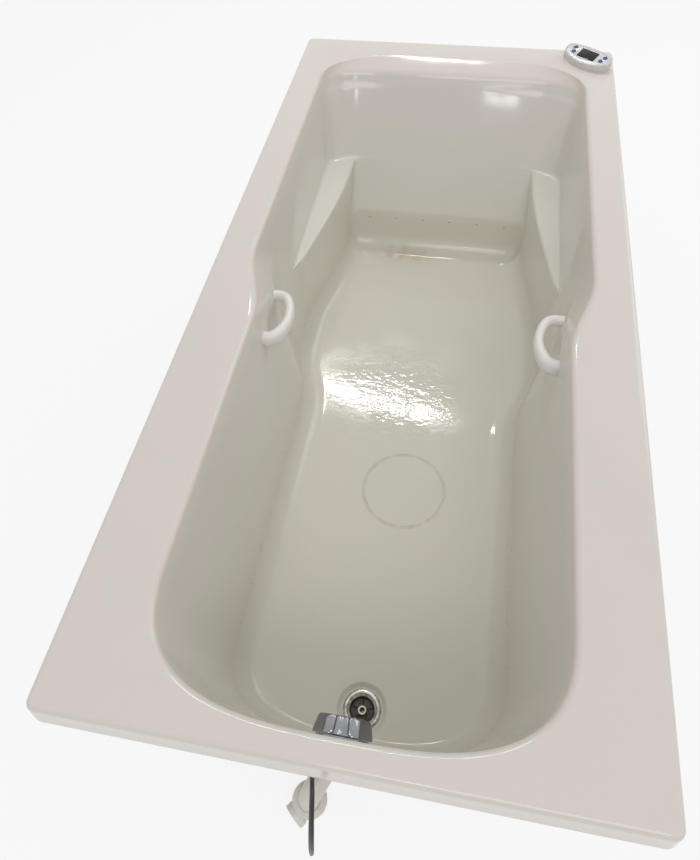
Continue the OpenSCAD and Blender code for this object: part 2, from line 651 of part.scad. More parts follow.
module socket(turn, z, r, l)
    translate([0, 0, z]) rotate([0, 0, turn]) rotate([0, 90, 0]) cylinder(r = r, h = l);
module waste_body() color([0.93, 0.92, 0.88]) at_drain() difference() {
    union() {
        translate([0, 0, -wall - 8]) cylinder(r = drain_r + 2, h = 5);
        translate([0, 0, chamber_z]) cylinder(r = chamber_r, h = -wall - 3 - chamber_z);
        socket(arm_turn, arm_z, waste_pipe_r + 3, socket_l);
        socket(hose_turn, arm_z, overflow_hose_r + 2.5, socket_l);
        socket(cable_turn, arm_z + 6, cable_r + 3, socket_l);
    }
    translate([0, 0, chamber_z + 3]) cylinder(r = chamber_r - 3, h = 30);
    translate([0, 0, chamber_z + 10]) cylinder(r = neck_r + 0.1, h = 80);
    socket(arm_turn, arm_z, waste_pipe_r + push, socket_l + 1);
    socket(hose_turn, arm_z, overflow_hose_r - 2, socket_l + 1);
    translate([0, 0, arm_z]) rotate([0, 0, hose_turn]) translate([socket_l - 12, 0, 0]) rotate([0, 90, 0])
        cylinder(r = overflow_hose_r + seat, h = 20);
    socket(cable_turn, arm_z + 6, cable_r - 1, socket_l + 1);
}

trap_z = arm_z - bend_r;     // where the elbow has turned down
cup_r = 28;
cup_top = trap_z - 5;
cup_floor = 14 - waste_at[2];
outlet_turn = -130;
outlet_nut_r = waste_pipe_r + 3;
outlet_z = cup_floor + outlet_nut_r;
outlet_from = cup_r + 1;
module at_trap()
    at_drain() rotate([0, 0, arm_turn]) translate([trap_reach, 0, 0]) rotate([0, 0, -arm_turn]) children();
module trap_elbow() color([0.94, 0.93, 0.89]) at_drain() rotate([0, 0, arm_turn]) {
    translate([chamber_r - 2, 0, arm_z]) rotate([0, 90, 0])
        pipe(waste_pipe_r, waste_t, trap_reach - bend_r - chamber_r + 2);
    translate([trap_reach - bend_r, 0, trap_z]) rotate([90, 0, 0]) rotate_extrude(angle = 90)
        translate([bend_r, 0]) difference() {
            circle(r = waste_pipe_r);
            circle(r = waste_pipe_r - waste_t);
        }
    translate([trap_reach, 0, cup_floor + 10]) pipe(waste_pipe_r, waste_t, trap_z - cup_floor - 10);
}
module trap_union_nut() color([0.95, 0.94, 0.90]) at_trap() difference() {
    union() {
        translate([0, 0, cup_top - 9]) cylinder(r = cup_r + 3, h = 15);
        translate([0, 0, cup_top - 9]) cylinder(r = cup_r + 4.5, h = 5);
    }
    translate([0, 0, cup_top - 10]) cylinder(r = cup_r + 0.1, h = 10 + eps);
    translate([0, 0, cup_top - 1]) cylinder(r = waste_pipe_r + push, h = 20);
}
module trap_cup() color([0.93, 0.92, 0.88]) at_trap() difference() {
    union() {
        translate([0, 0, cup_floor]) cylinder(r = cup_r - 2, h = cup_top - cup_floor);
        translate([0, 0, cup_floor + 4]) cylinder(r = cup_r, h = cup_top - cup_floor - 4);
        socket(outlet_turn, outlet_z, waste_pipe_r, outlet_from + outlet_l - 9);
    }
    translate([0, 0, cup_floor + 3]) cylinder(r = cup_r - 3, h = 200);
    socket(outlet_turn, outlet_z, waste_pipe_r - 3, outlet_from + outlet_l);
}

// Nut on the cup's spigot, whose outer half takes the house's waste pipe
module trap_outlet() color([0.90, 0.89, 0.85])
    at_trap() rotate([0, 0, outlet_turn]) translate([outlet_from, 0, outlet_z])
    rotate([0, 90, 0]) difference() {
        cylinder(r = outlet_nut_r, h = outlet_l);
        translate([0, 0, -1]) cylinder(r = waste_pipe_r + 0.1, h = outlet_l + 2);
        translate([0, 0, outlet_l - 8.5]) cylinder(r = waste_pipe_r + 0.5, h = 10);
    }

// ---- overflow ----

plate_t = 3;
plate_r = knob_r - 4;
body_r = 33;
body_back = -wall - 33;
spigot_w = -wall - overflow_hose_r - 4;
gasket_t = 2.5;
drum_r = 13;
hose_socket_l = 18;
module at_overflow() placed() on_foot_wall(overflow_d) children();

module overflow_plate() color([0.80, 0.81, 0.83]) at_overflow() difference() {
    translate([0, 0, 0.2]) cylinder(r = plate_r, h = plate_t - 0.2);
    translate([0, 0, -1]) cylinder(r = spindle_r + slip, h = plate_t + 2);
    for (a = [30:60:330]) rotate([0, 0, a]) translate([17, 0, -1]) cylinder(r = 5, h = plate_t + 2);
}

// A tapered knob with three flats and three groups of finger flutes
module overflow_knob() color([0.85, 0.86, 0.88]) at_overflow() translate([0, 0, plate_t + 1]) difference() {
    cylinder(r1 = knob_r, r2 = knob_r - 5, h = knob_l);
    for (a = [90, 210, 330]) rotate([0, 0, a + 60]) translate([knob_r - 2, -knob_r, -1])
        cube([20, 2*knob_r, knob_l + 2]);
    for (a = [90, 210, 330], b = [-18, 0, 18]) rotate([0, 0, a + b]) translate([knob_r + 1.5, 0, -1])
        rotate([0, -12, 0]) cylinder(r = 4, h = knob_l + 6, $fn = 32);
    translate([0, 0, -eps]) cylinder(r = knob_r - 10, h = knob_l - 8);
    translate([0, 0, knob_l - 1.2]) cylinder(r = knob_r - 12, h = 2);
}
module knob_spindle() color([0.62, 0.62, 0.60]) at_overflow() {
    translate([0, 0, body_back + 4]) cylinder(r = spindle_r, h = plate_t + 0.8 + knob_l - 8 - body_back - 4);
    translate([0, 0, body_back + 8]) cylinder(r = drum_r, h = 8);
}
module overflow_gasket() color([0.10, 0.10, 0.11])
    at_overflow() translate([0, 0, -wall - gasket_t - 0.2]) difference() {
    cylinder(r = body_r + 2, h = gasket_t);
    translate([0, 0, -1]) cylinder(r = overflow_hole_r, h = gasket_t + 2);
}
module overflow_body() color([0.93, 0.92, 0.88]) at_overflow() difference() {
    union() {
        translate([0, 0, body_back]) cylinder(r = body_r, h = -wall - gasket_t - 0.3 - body_back);
        translate([0, 0, spigot_w]) rotate([90 - atan(foot_draft), 0, 0])
            cylinder(r = overflow_hose_r - 4, h = body_r + hose_socket_l);
        cable_outlet(cable_r + 3, 12);
    }
    translate([0, 0, body_back + 3]) cylinder(r = body_r - 3, h = 60);
    translate([0, 0, spigot_w]) rotate([90 - atan(foot_draft), 0, 0])
        cylinder(r = overflow_hose_r - 6, h = body_r + hose_socket_l + 1);
    cable_outlet(cable_r - 1, 13);
}
module cable_outlet(r, l) rotate([0, 0, 130]) translate([body_r - 7, 0, body_back + 9]) rotate([0, 90, 0])
    cylinder(r = r, h = l);

hose_top = on_body_pt(spigot_w);
function on_body_pt(w) = let(a = atan(foot_draft))
    [0, foot_wall_y(overflow_d) + w*cos(a), rim_h - overflow_d + w*sin(a) - body_r - 2];
hose_end = waste_at + [cos(hose_turn)*(socket_l - 12), sin(hose_turn)*(socket_l - 12), arm_z];
function hose_lead(l) = waste_at + [cos(hose_turn)*(socket_l + l), sin(hose_turn)*(socket_l + l), arm_z];
hose_drop = hose_top[2] - waste_at[2] - arm_z;
hose_pts = [hose_top, hose_top - [0, 0, 20], hose_top - [0, 0, 45], hose_top + [14, 3, -hose_drop*0.36],
    hose_top + [52, 14, -hose_drop*0.62], hose_lead(66) + [12, -12, 74],
    hose_lead(66) + [0, 0, 14], hose_lead(34),
    hose_lead(10), hose_end];
module overflow_hose() color([0.80, 0.80, 0.78]) placed() difference() {
    swept(route(hose_pts, 4), overflow_hose_r, 14, [1, 0, 0]);
    translate(hose_top - [0, 0, hose_socket_l - 1]) cylinder(r = overflow_hose_r - 4 + push, h = 40);
}
module pull_cable() color([0.06, 0.06, 0.07]) placed() swept(cable_route, cable_r, 8, [0, 0, 1]);

// ---- air system ----

jet_gap = 6;
hose_out = wall + jet_gap + air_hose_r;
hose_level = [jet_side_d, jet_head_d, back_y(jet_head_d), deep_arc(jet_head_d), 4.6, 0, 1, 0];
hose_half = [for (p = concat([for (y = side_ys) level_pt(hose_level, y, 1)],
    [level_pt(hose_level, mix(side_end, hose_level[2] - hose_level[3], 0.5), 1)], head_pts(hose_level))) p];
hose_line = concat([for (p = hose_half) p],
    [for (i = [len(hose_half) - 2:-1:0]) [-hose_half[i][0], hose_half[i][1], hose_half[i][2]]]);
function level_out(i) = let(t = tangent(hose_line, i)) unit([t[1], -t[0], -0.08]);
air_route = [for (i = [0:len(hose_line) - 1]) hose_line[i] + hose_out*level_out(i)];
tee_y = air_route[len(hose_half) - 1][1];
tee_z = rim_h - jet_head_d - 0.08*hose_out;

module air_jets() color([0.85, 0.84, 0.80]) placed() {
    both_sides() for (y = jet_ys) on_facet(y, jet_side_d) jet_nozzle();
    for (x = jet_xs) on_riser(x) jet_nozzle();
}
module jet_nozzle() translate([0, 0, wall + 0.9]) difference() {
    cylinder(r = jet_r + 3, h = jet_gap - 0.9 - seat, $fn = 24);
    translate([0, 0, -1]) cylinder(r = jet_r, h = jet_gap + 2, $fn = 24);
}
module air_hose() color([0.88, 0.88, 0.86]) placed() swept(air_route, air_hose_r, 8, [0, 0, 1]);

// Saddle tee on the air hose behind the riser
tee_l = 46;
module air_tee() color([0.93, 0.92, 0.90]) placed() translate([0, tee_y, tee_z]) {
    difference() {
        union() {
            rotate([0, 90, 0]) cylinder(r = air_hose_r + 4, h = tee_l, center = true);
            rotate([-90, 0, 0]) cylinder(r = blower_hose_r + 3, h = 34);
        }
        rotate([0, 90, 0]) cylinder(r = air_hose_r + 1, h = tee_l + 2, center = true);
        translate([0, 16, 0]) rotate([-90, 0, 0]) cylinder(r = blower_hose_r + 2*seat, h = 20);
    }
}

blower_at = [-110, rim_l/2 - 145, board_z + 3];
box_at = [110, rim_l/2 - 145, board_z + 3];
blower_top = blower_at + [0, 0, blower_h];
blower_pts = [[0, tee_y + 17, tee_z], [0, tee_y + 38, tee_z], [0, tee_y + 62, tee_z + 6],
    [-8, tee_y + 92, tee_z + 50],
    [-30, rim_l/2 - 112, rim_h - 160], [-62, rim_l/2 - 92, rim_h - 80], [-88, rim_l/2 - 94, rim_h - 68],
    [-108, rim_l/2 - 118, rim_h - 110], blower_top + [0, 0, 60], blower_top + [0, 0, 30],
    blower_top + [0, 0, 4]];
module blower_hose() color([0.80, 0.80, 0.80])
    placed() swept(route(blower_pts, 4), blower_hose_r, 12, [1, 0, 0]);

// Blower with a finned motor cap and the spigot that its hose sits over
module blower() color([0.25, 0.26, 0.28]) placed() translate(blower_at) {
    difference() {
        rotate_extrude() polygon([[0, 0], [blower_r, 0], [blower_r, 42], [blower_r - 6, 50],
            [blower_r - 14, 52], [blower_r - 14, blower_h - 26], [blower_r - 24, blower_h - 12],
            [blower_hose_r + 4, blower_h - 12], [blower_hose_r + 4, blower_h + 22], [0, blower_h + 22]]);
        translate([0, 0, blower_h + 2]) cylinder(r = blower_hose_r + seat, h = 40);
        for (i = [0:17]) rotate([0, 0, 20*i]) translate([blower_r - 17, -2, 60]) cube([8, 4, blower_h - 96]);
    }
    for (i = [0:3]) rotate([0, 0, 45 + 90*i]) translate([blower_r - 4, -9, 0]) cube([14, 18, 6]);
}
module blower_tray() color([0.62, 0.64, 0.66])
    placed() translate([-rail_span/2 - tube/2, blower_at[1] - 95, board_z])
    cube([rail_span + tube, 180, 3]);
module control_box() color([0.80, 0.81, 0.82]) placed() translate(box_at - [70, 55, 0]) {
    cube([140, 110, 58]);
    translate([-2, -2, 58]) cube([144, 114, 8]);
}

// ---- keypad ----

module at_keypad() placed() translate(keypad_at) rotate([0, 0, keypad_turn]) children();
module on_face() at_keypad() translate([0, 0, keypad_h]) rotate([keypad_tilt, 0, 0]) children();

face_t = 1.2;
screen_l = 48;
screen_w = 31;
near_bow = 22;                                     // rise of the bowed side towards the bather
far_bow = 8;
keypad_round = 12;
function bow_r(h) = (pow(keypad_l/2, 2) + h*h)/(2*h);
button_places = [[-41.5, 9.5], [-38, -5], [43, 9.5], [39, -5]];

// Boat shape: a full bow towards the bather, a flatter one behind and round ends
module keypad_outline(inset) offset(r = keypad_round - inset) offset(delta = -keypad_round) intersection() {
    translate([0, bow_r(near_bow) - keypad_near]) circle(r = bow_r(near_bow), $fn = 128);
    translate([0, keypad_w - keypad_near - bow_r(far_bow)]) circle(r = bow_r(far_bow), $fn = 192);
    translate([0, 4]) circle(r = keypad_l/2, $fn = 96);
}
module keypad_housing() color([0.90, 0.88, 0.86]) difference() {
    union() {
        at_keypad() difference() {
            linear_extrude(keypad_h + 30) keypad_outline(0);
            translate([0, 0, keypad_h]) rotate([keypad_tilt, 0, 0])
                translate([-100, -100, 0]) cube([200, 200, 60]);
        }
        at_keypad() translate([0, 0, -wall - 18]) cylinder(r = keypad_stem_r, h = wall + 18 + eps);
    }
    on_face() translate([0, 0, -face_t]) linear_extrude(5) keypad_outline(4 - seat);
    on_face() translate([-screen_l/2 - 0.2, -screen_w/2 - 0.2, -4])
        cube([screen_l + 0.4, screen_w + 0.4, 10]);
    on_face() for (p = button_places) translate([p[0], p[1], -7]) cylinder(r = button_r + slip, h = 10);
}
module keypad_face() color([0.84, 0.85, 0.87]) on_face() translate([0, 0, -face_t + 0.02]) difference() {
    linear_extrude(face_t) keypad_outline(4);
    translate([-screen_l/2, -screen_w/2, -1]) cube([screen_l, screen_w, 4]);
    for (p = button_places) translate([p[0], p[1], -1]) cylinder(r = button_r + push, h = 4);
}
module keypad_screen() color([0.10, 0.11, 0.10])
    on_face() translate([-screen_l/2 + 0.1, -screen_w/2 + 0.1, -3.9])
    cube([screen_l - 0.2, screen_w - 0.2, 3.7]);
module keypad_nut() color([0.90, 0.89, 0.86]) at_keypad() translate([0, 0, -wall - 8.2]) difference() {
    cylinder(r = keypad_stem_r + 9, h = 8, $fn = 8);
    translate([0, 0, -1]) cylinder(r = keypad_stem_r + 0.1, h = 10);
}
module button(i) color([0.20, 0.27, 0.52]) on_face() translate([button_places[i][0], button_places[i][1], 0])
    rotate_extrude() polygon([[0, button_travel - 6.8], [button_r, button_travel - 6.8], [button_r, 0.9],
        [button_r - 0.6, 1.4], [button_r - 2, 1.7], [0, 1.8]]);
module button_1() button(0);
module button_2() button(1);
module button_3() button(2);
module button_4() button(3);

tub_shell();
base_board();
rim_batten_left();
rim_batten_right();
frame_rail_left();
frame_rail_right();
frame_cross_foot();
frame_cross_middle();
frame_cross_head();
upright_foot_left();
upright_foot_right();
upright_head_left();
upright_head_right();
foot_pad_1();
foot_pad_2();
foot_pad_3();
foot_pad_4();
foot_pad_5();
foot_pad_6();
foot_studs();
foot_nuts();
grab_handle_left();
grab_handle_right();
handle_bolts();
drain_flange();
drain_strainer();
drain_gasket();
waste_body();
plug_lifter();
trap_elbow();
trap_union_nut();
trap_cup();
trap_outlet();
overflow_plate();
overflow_knob();
knob_spindle();
overflow_gasket();
overflow_body();
overflow_hose();
pull_cable();
air_jets();
air_hose();
air_tee();
blower_hose();
blower();
blower_tray();
control_box();
keypad_housing();
keypad_face();
keypad_screen();
keypad_nut();
button_1();
button_2();
button_3();
button_4();
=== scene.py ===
import bpy, bmesh, json, math
import numpy as np
from mathutils import Matrix, Vector
from mathutils.bvhtree import BVHTree


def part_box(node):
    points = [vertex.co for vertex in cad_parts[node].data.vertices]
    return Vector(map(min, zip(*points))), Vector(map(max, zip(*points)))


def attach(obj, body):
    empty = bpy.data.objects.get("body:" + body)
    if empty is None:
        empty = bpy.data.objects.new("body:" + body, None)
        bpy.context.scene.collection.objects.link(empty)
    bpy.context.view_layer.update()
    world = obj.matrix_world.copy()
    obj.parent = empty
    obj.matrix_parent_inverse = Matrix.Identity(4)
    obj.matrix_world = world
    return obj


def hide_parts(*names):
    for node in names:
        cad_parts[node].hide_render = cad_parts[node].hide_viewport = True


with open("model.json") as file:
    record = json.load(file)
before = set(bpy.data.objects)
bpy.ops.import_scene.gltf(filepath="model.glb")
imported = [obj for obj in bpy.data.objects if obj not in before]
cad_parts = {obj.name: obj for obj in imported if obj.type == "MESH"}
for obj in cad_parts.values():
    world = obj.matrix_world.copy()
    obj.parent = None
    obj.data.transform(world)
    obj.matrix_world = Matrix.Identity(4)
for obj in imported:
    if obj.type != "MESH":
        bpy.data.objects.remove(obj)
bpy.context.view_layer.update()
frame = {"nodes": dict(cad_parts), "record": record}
print("frame loaded:", len(frame["nodes"]), "nodes")

mm = 0.001
shellLow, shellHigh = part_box("tub_shell")
offsetY = (shellLow.y + shellHigh.y)/2        # the rim's middle, in metres
cadNodes = frame["nodes"]


def clamp01(t): return min(1.0, max(0.0, t))
def mix(a, b, t): return a + (b - a)*t


def smooth(t):
    u = clamp01(t)
    return u*u*(3 - 2*u)


def sinD(a): return math.sin(math.radians(a))
def cosD(a): return math.cos(math.radians(a))
def bell(t): return 0.0 if abs(t) >= 1 else cosD(90*t)**2


def throughPoints(xs, ys, x):                 # smooth curve through a few given values
    x = min(max(x, xs[0]), xs[-1])
    i = max(k for k in range(len(xs) - 1) if xs[k] <= x)
    h = xs[i + 1] - xs[i]
    def slope(k):
        if k == 0: return (ys[1] - ys[0])/(xs[1] - xs[0])
        if k == len(xs) - 1: return (ys[-1] - ys[-2])/(xs[-1] - xs[-2])
        a = (ys[k] - ys[k - 1])/(xs[k] - xs[k - 1])
        b = (ys[k + 1] - ys[k])/(xs[k + 1] - xs[k])
        return 0.0 if a*b <= 0 else 2*a*b/(a + b)
    t = (x - xs[i])/h
    return ((2*t**3 - 3*t*t + 1)*ys[i] + (t**3 - 2*t*t + t)*h*slope(i)
            + (3*t*t - 2*t**3)*ys[i + 1] + (t**3 - t*t)*h*slope(i + 1))


def deselectAll():
    if bpy.context.object and bpy.context.object.mode != 'OBJECT':
        bpy.ops.object.mode_set(mode='OBJECT')
    bpy.ops.object.select_all(action='DESELECT')


def makeActive(piece):
    deselectAll()
    piece.select_set(True)
    bpy.context.view_layer.objects.active = piece


def meshPiece(name, points, faces):           # points in mm in the bath's own frame
    mesh = bpy.data.meshes.new(name)
    mesh.from_pydata([(p[0]*mm, p[1]*mm + offsetY, p[2]*mm) for p in points], [], faces)
    mesh.update()
    piece = bpy.data.objects.new(name, mesh)
    bpy.context.scene.collection.objects.link(piece)
    return piece


def faceOut(piece):
    makeActive(piece)
    bpy.ops.object.mode_set(mode='EDIT')
    bpy.ops.mesh.select_all(action='SELECT')
    bpy.ops.mesh.remove_doubles(threshold=0.000002)
    bpy.ops.mesh.normals_make_consistent(inside=False)
    bpy.ops.object.mode_set(mode='OBJECT')


def smoothUpTo(piece, degrees):
    makeActive(piece)
    bpy.ops.object.shade_smooth_by_angle(angle=math.radians(degrees))


def applyAll(piece):
    makeActive(piece)
    for m in list(piece.modifiers):
        bpy.ops.object.modifier_apply(modifier=m.name)


def cutWith(piece, cutter, how='DIFFERENCE'):
    m = piece.modifiers.new("cut", 'BOOLEAN')
    m.object, m.operation, m.solver = cutter, how, 'EXACT'
    applyAll(piece)
    bpy.data.objects.remove(cutter)


def joinPieces(pieces):
    deselectAll()
    for p in pieces: p.select_set(True)
    bpy.context.view_layer.objects.active = pieces[0]
    bpy.ops.object.join()
    return pieces[0]


def finished(piece, body, slotName, material, *nodes):
    if material is not None:
        piece.data.materials.clear()
        piece.data.materials.append(material)
    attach(piece, body)
    if nodes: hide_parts(*nodes)
    return piece


def newMaterial(name, colour, rough, metal=0.0, coat=0.0, spec=0.5):
    mat = bpy.data.materials.new(name)
    mat.use_nodes = True
    shader = mat.node_tree.nodes["Principled BSDF"]
    shader.inputs["Base Color"].default_value = (*colour, 1)
    shader.inputs["Roughness"].default_value = rough
    shader.inputs["Metallic"].default_value = metal
    shader.inputs["Coat Weight"].default_value = coat
    shader.inputs["Specular IOR Level"].default_value = spec
    return mat, mat.node_tree, shader


def addNode(tree, kind, **values):
    n = tree.nodes.new(kind)
    for key, value in values.items():
        if key in n.inputs: n.inputs[key].default_value = value
        else: setattr(n, key, value)
    return n


def noiseOn(tree, scale, detail=4.0, rough=0.55, stretch=(1, 1, 1)):
    coords = addNode(tree, "ShaderNodeTexCoord")
    place = addNode(tree, "ShaderNodeMapping", Scale=stretch)
    noise = addNode(tree, "ShaderNodeTexNoise", Scale=scale, Detail=detail, Roughness=rough)
    tree.links.new(coords.outputs["Object"], place.inputs["Vector"])
    tree.links.new(place.outputs["Vector"], noise.inputs["Vector"])
    return noise


def rampOf(tree, value, stops):               # stops: (place, colour or grey)
    ramp = addNode(tree, "ShaderNodeValToRGB")
    tree.links.new(value, ramp.inputs["Fac"])
    els = ramp.color_ramp.elements
    while len(els) < len(stops): els.new(0.5)
    for e, (place, c) in zip(els, stops):
        e.position = place
        e.color = (c, c, c, 1) if isinstance(c, (int, float)) else (*c, 1)
    return ramp.outputs["Color"]


def bumpFrom(tree, shader, value, strength, distance):
    bump = addNode(tree, "ShaderNodeBump", Strength=strength, Distance=distance)
    tree.links.new(value, bump.inputs["Height"])
    tree.links.new(bump.outputs["Normal"], shader.inputs["Normal"])


def scaled(colour, k): return tuple(min(1.0, c*k) for c in colour)


def mottled(name, colour, rough, spread=0.05, scale=60, grain=0.1, metal=0.0, coat=0.0,
            roughSpread=0.08, bumpDepth=0.0002, spec=0.5, stretch=(1, 1, 1)):
    mat, tree, shader = newMaterial(name, colour, rough, metal, coat, spec)
    broad = noiseOn(tree, scale, 5, 0.6, stretch)
    tree.links.new(rampOf(tree, broad.outputs["Fac"], [
        (0.3, scaled(colour, 1 - spread)), (0.7, scaled(colour, 1 + spread))]), shader.inputs["Base Color"])
    tree.links.new(rampOf(tree, broad.outputs["Fac"], [
        (0.3, rough + roughSpread), (0.7, max(0.02, rough - roughSpread))]), shader.inputs["Roughness"])
    if grain > 0:
        fine = noiseOn(tree, scale*14, 3, 0.6, stretch)
        bumpFrom(tree, shader, fine.outputs["Fac"], grain, bumpDepth)
    return mat


# tone by height above the basin's floor, darker lower down as painted shade, then soil and bumps; places in
# metres, from the bath's middle
acrylic = {"lowest": 0.152, "highest": 0.56, "colours": [
               (0.0, (0.715, 0.692, 0.612)), (0.55, (0.735, 0.716, 0.648)),
               (0.93, (0.745, 0.710, 0.650)), (1.0, (0.790, 0.730, 0.668))],
           "film": (0.70, 0.675, 0.60, 1), "filmShare": 0.28,
           "scuff": (0.50, 0.475, 0.41, 1), "scuffAt": (0.017, -0.257, 0.150), "scuffRadii": (0.080, 0.100),
           "stain": (0.52, 0.45, 0.31, 1), "stainAt": (-0.08, 0.500, 0.153), "stainReach": 0.045,
           "stainFlat": 0.40, "gloss": 0.07, "filmDulls": 0.16, "spotsDull": 0.10,
           "rippleAt": (-0.03, 0, 0.150), "rippleFades": (0.04, 0.21),
           "ripple": 0.40, "wave": 0.25, "peel": 0.05}


def besideMiddle(at): return (at[0], at[1] + offsetY, at[2])


def acrylicGloss():                           # vacuum-formed sheet, gently wavy, lightly soiled
    look = acrylic
    mat, tree, shader = newMaterial("acrylicGloss", (0.745, 0.725, 0.680), 0.13, coat=0.06, spec=0.42)
    shader.inputs["Coat Roughness"].default_value = 0.05
    shader.inputs["IOR"].default_value = 1.49
    link = tree.links.new
    coords = addNode(tree, "ShaderNodeTexCoord")
    # painted shade: lower parts are darker, and a little greener, than the rim, standing in for the shade
    # deep in the basin
    parts = addNode(tree, "ShaderNodeSeparateXYZ")
    link(coords.outputs["Object"], parts.inputs["Vector"])
    low = addNode(tree, "ShaderNodeMapRange", **{"From Min": look["lowest"], "From Max": look["highest"],
                                                 "To Min": 0.0, "To Max": 1.0})
    link(parts.outputs["Z"], low.inputs["Value"])
    toneAndShade = rampOf(tree, low.outputs["Result"], look["colours"])
    # thin film of soap and lime in patches
    patch = noiseOn(tree, 7.5, 6, 0.62)
    film = rampOf(tree, patch.outputs["Fac"], [(0.46, 0.0), (0.72, 1.0)])
    filmed = addNode(tree, "ShaderNodeMix", data_type='RGBA')
    filmed.inputs["B"].default_value = look["film"]
    filmShare = addNode(tree, "ShaderNodeMath", operation='MULTIPLY')
    filmShare.inputs[1].default_value = look["filmShare"]
    link(film, filmShare.inputs[0])
    link(filmShare.outputs[0], filmed.inputs["Factor"])
    link(toneAndShade, filmed.inputs["A"])
    # round scuff that a bucket left on the floor
    ring = addNode(tree, "ShaderNodeVectorMath", operation='DISTANCE')
    ring.inputs[1].default_value = besideMiddle(look["scuffAt"])
    link(coords.outputs["Object"], ring.inputs[0])
    wobble = noiseOn(tree, 34, 5, 0.7)
    ringAt = addNode(tree, "ShaderNodeMapRange", **{"From Min": look["scuffRadii"][0],
                                                    "From Max": look["scuffRadii"][1]})
    link(ring.outputs["Value"], ringAt.inputs["Value"])
    ringLine = rampOf(tree, ringAt.outputs["Result"], [
        (0.30, 0.0), (0.42, 1.0), (0.52, 0.25), (0.62, 0.9), (0.75, 0.0)])
    broken = rampOf(tree, wobble.outputs["Fac"], [(0.36, 0.15), (0.58, 1.0)])
    ringShare = addNode(tree, "ShaderNodeMath", operation='MULTIPLY')
    link(ringLine, ringShare.inputs[0])
    link(broken, ringShare.inputs[1])
    ringed = addNode(tree, "ShaderNodeMix", data_type='RGBA')
    ringed.inputs["B"].default_value = look["scuff"]
    link(ringShare.outputs[0], ringed.inputs["Factor"])
    link(filmed.outputs["Result"], ringed.inputs["A"])
    # beige stain along the foot of the back
    tideAt = addNode(tree, "ShaderNodeVectorMath", operation='SUBTRACT')
    tideAt.inputs[1].default_value = besideMiddle(look["stainAt"])
    link(coords.outputs["Object"], tideAt.inputs[0])
    tideFlat = addNode(tree, "ShaderNodeVectorMath", operation='MULTIPLY')
    tideFlat.inputs[1].default_value = (look["stainFlat"], 1, 1)
    link(tideAt.outputs[0], tideFlat.inputs[0])
    tideLen = addNode(tree, "ShaderNodeVectorMath", operation='LENGTH')
    link(tideFlat.outputs[0], tideLen.inputs[0])
    tide = addNode(tree, "ShaderNodeMapRange", **{"From Min": 0.0, "From Max": look["stainReach"],
                                                  "To Min": 1.0, "To Max": 0.0})
    link(tideLen.outputs["Value"], tide.inputs["Value"])
    tideNoise = noiseOn(tree, 26, 5, 0.7)
    tideShare = addNode(tree, "ShaderNodeMath", operation='MULTIPLY')
    link(tide.outputs["Result"], tideShare.inputs[0])
    link(rampOf(tree, tideNoise.outputs["Fac"], [(0.38, 0.1), (0.60, 0.9)]), tideShare.inputs[1])
    stained = addNode(tree, "ShaderNodeMix", data_type='RGBA')
    stained.inputs["B"].default_value = look["stain"]
    link(tideShare.outputs[0], stained.inputs["Factor"])
    link(ringed.outputs["Result"], stained.inputs["A"])
    link(stained.outputs["Result"], shader.inputs["Base Color"])
    # gloss: dulled by the film, with dried spots
    spots = noiseOn(tree, 230, 3, 0.6)
    spotted = rampOf(tree, spots.outputs["Fac"], [(0.60, 0.0), (0.70, 1.0)])
    roughSum = addNode(tree, "ShaderNodeMath", operation='MULTIPLY_ADD')
    roughSum.inputs[1].default_value = look["filmDulls"]
    roughSum.inputs[2].default_value = look["gloss"]
    link(film, roughSum.inputs[0])
    roughTotal = addNode(tree, "ShaderNodeMath", operation='MULTIPLY_ADD')
    roughTotal.inputs[1].default_value = look["spotsDull"]
    link(spotted, roughTotal.inputs[0])
    link(roughSum.outputs[0], roughTotal.inputs[2])
    link(roughTotal.outputs[0], shader.inputs["Roughness"])
    # slow waviness, a little orange peel, and limescale ripples on the floor alone
    spot = addNode(tree, "ShaderNodeVectorMath", operation='DISTANCE')
    spot.inputs[1].default_value = besideMiddle(look["rippleAt"])
    link(coords.outputs["Object"], spot.inputs[0])
    fullTo, goneAt = look["rippleFades"]
    onFloor = rampOf(tree, spot.outputs["Value"], [(fullTo, 1.0), (goneAt, 0.0)])
    ripple = noiseOn(tree, 44, 2, 0.5, (1, 1.5, 1))
    floorRipple = addNode(tree, "ShaderNodeMath", operation='MULTIPLY')
    link(onFloor, floorRipple.inputs[0])
    link(ripple.outputs["Fac"], floorRipple.inputs[1])
    wave = noiseOn(tree, 5.0, 2, 0.45)
    peel = noiseOn(tree, 120, 2, 0.5)
    waveBump = addNode(tree, "ShaderNodeBump", Strength=look["wave"], Distance=0.004)
    rippleBump = addNode(tree, "ShaderNodeBump", Strength=look["ripple"], Distance=0.0021)
    peelBump = addNode(tree, "ShaderNodeBump", Strength=look["peel"], Distance=0.0006)
    link(wave.outputs["Fac"], waveBump.inputs["Height"])
    link(floorRipple.outputs[0], rippleBump.inputs["Height"])
    link(peel.outputs["Fac"], peelBump.inputs["Height"])
    link(waveBump.outputs["Normal"], rippleBump.inputs["Normal"])
    link(rippleBump.outputs["Normal"], peelBump.inputs["Normal"])
    link(peelBump.outputs["Normal"], shader.inputs["Normal"])
    return mat


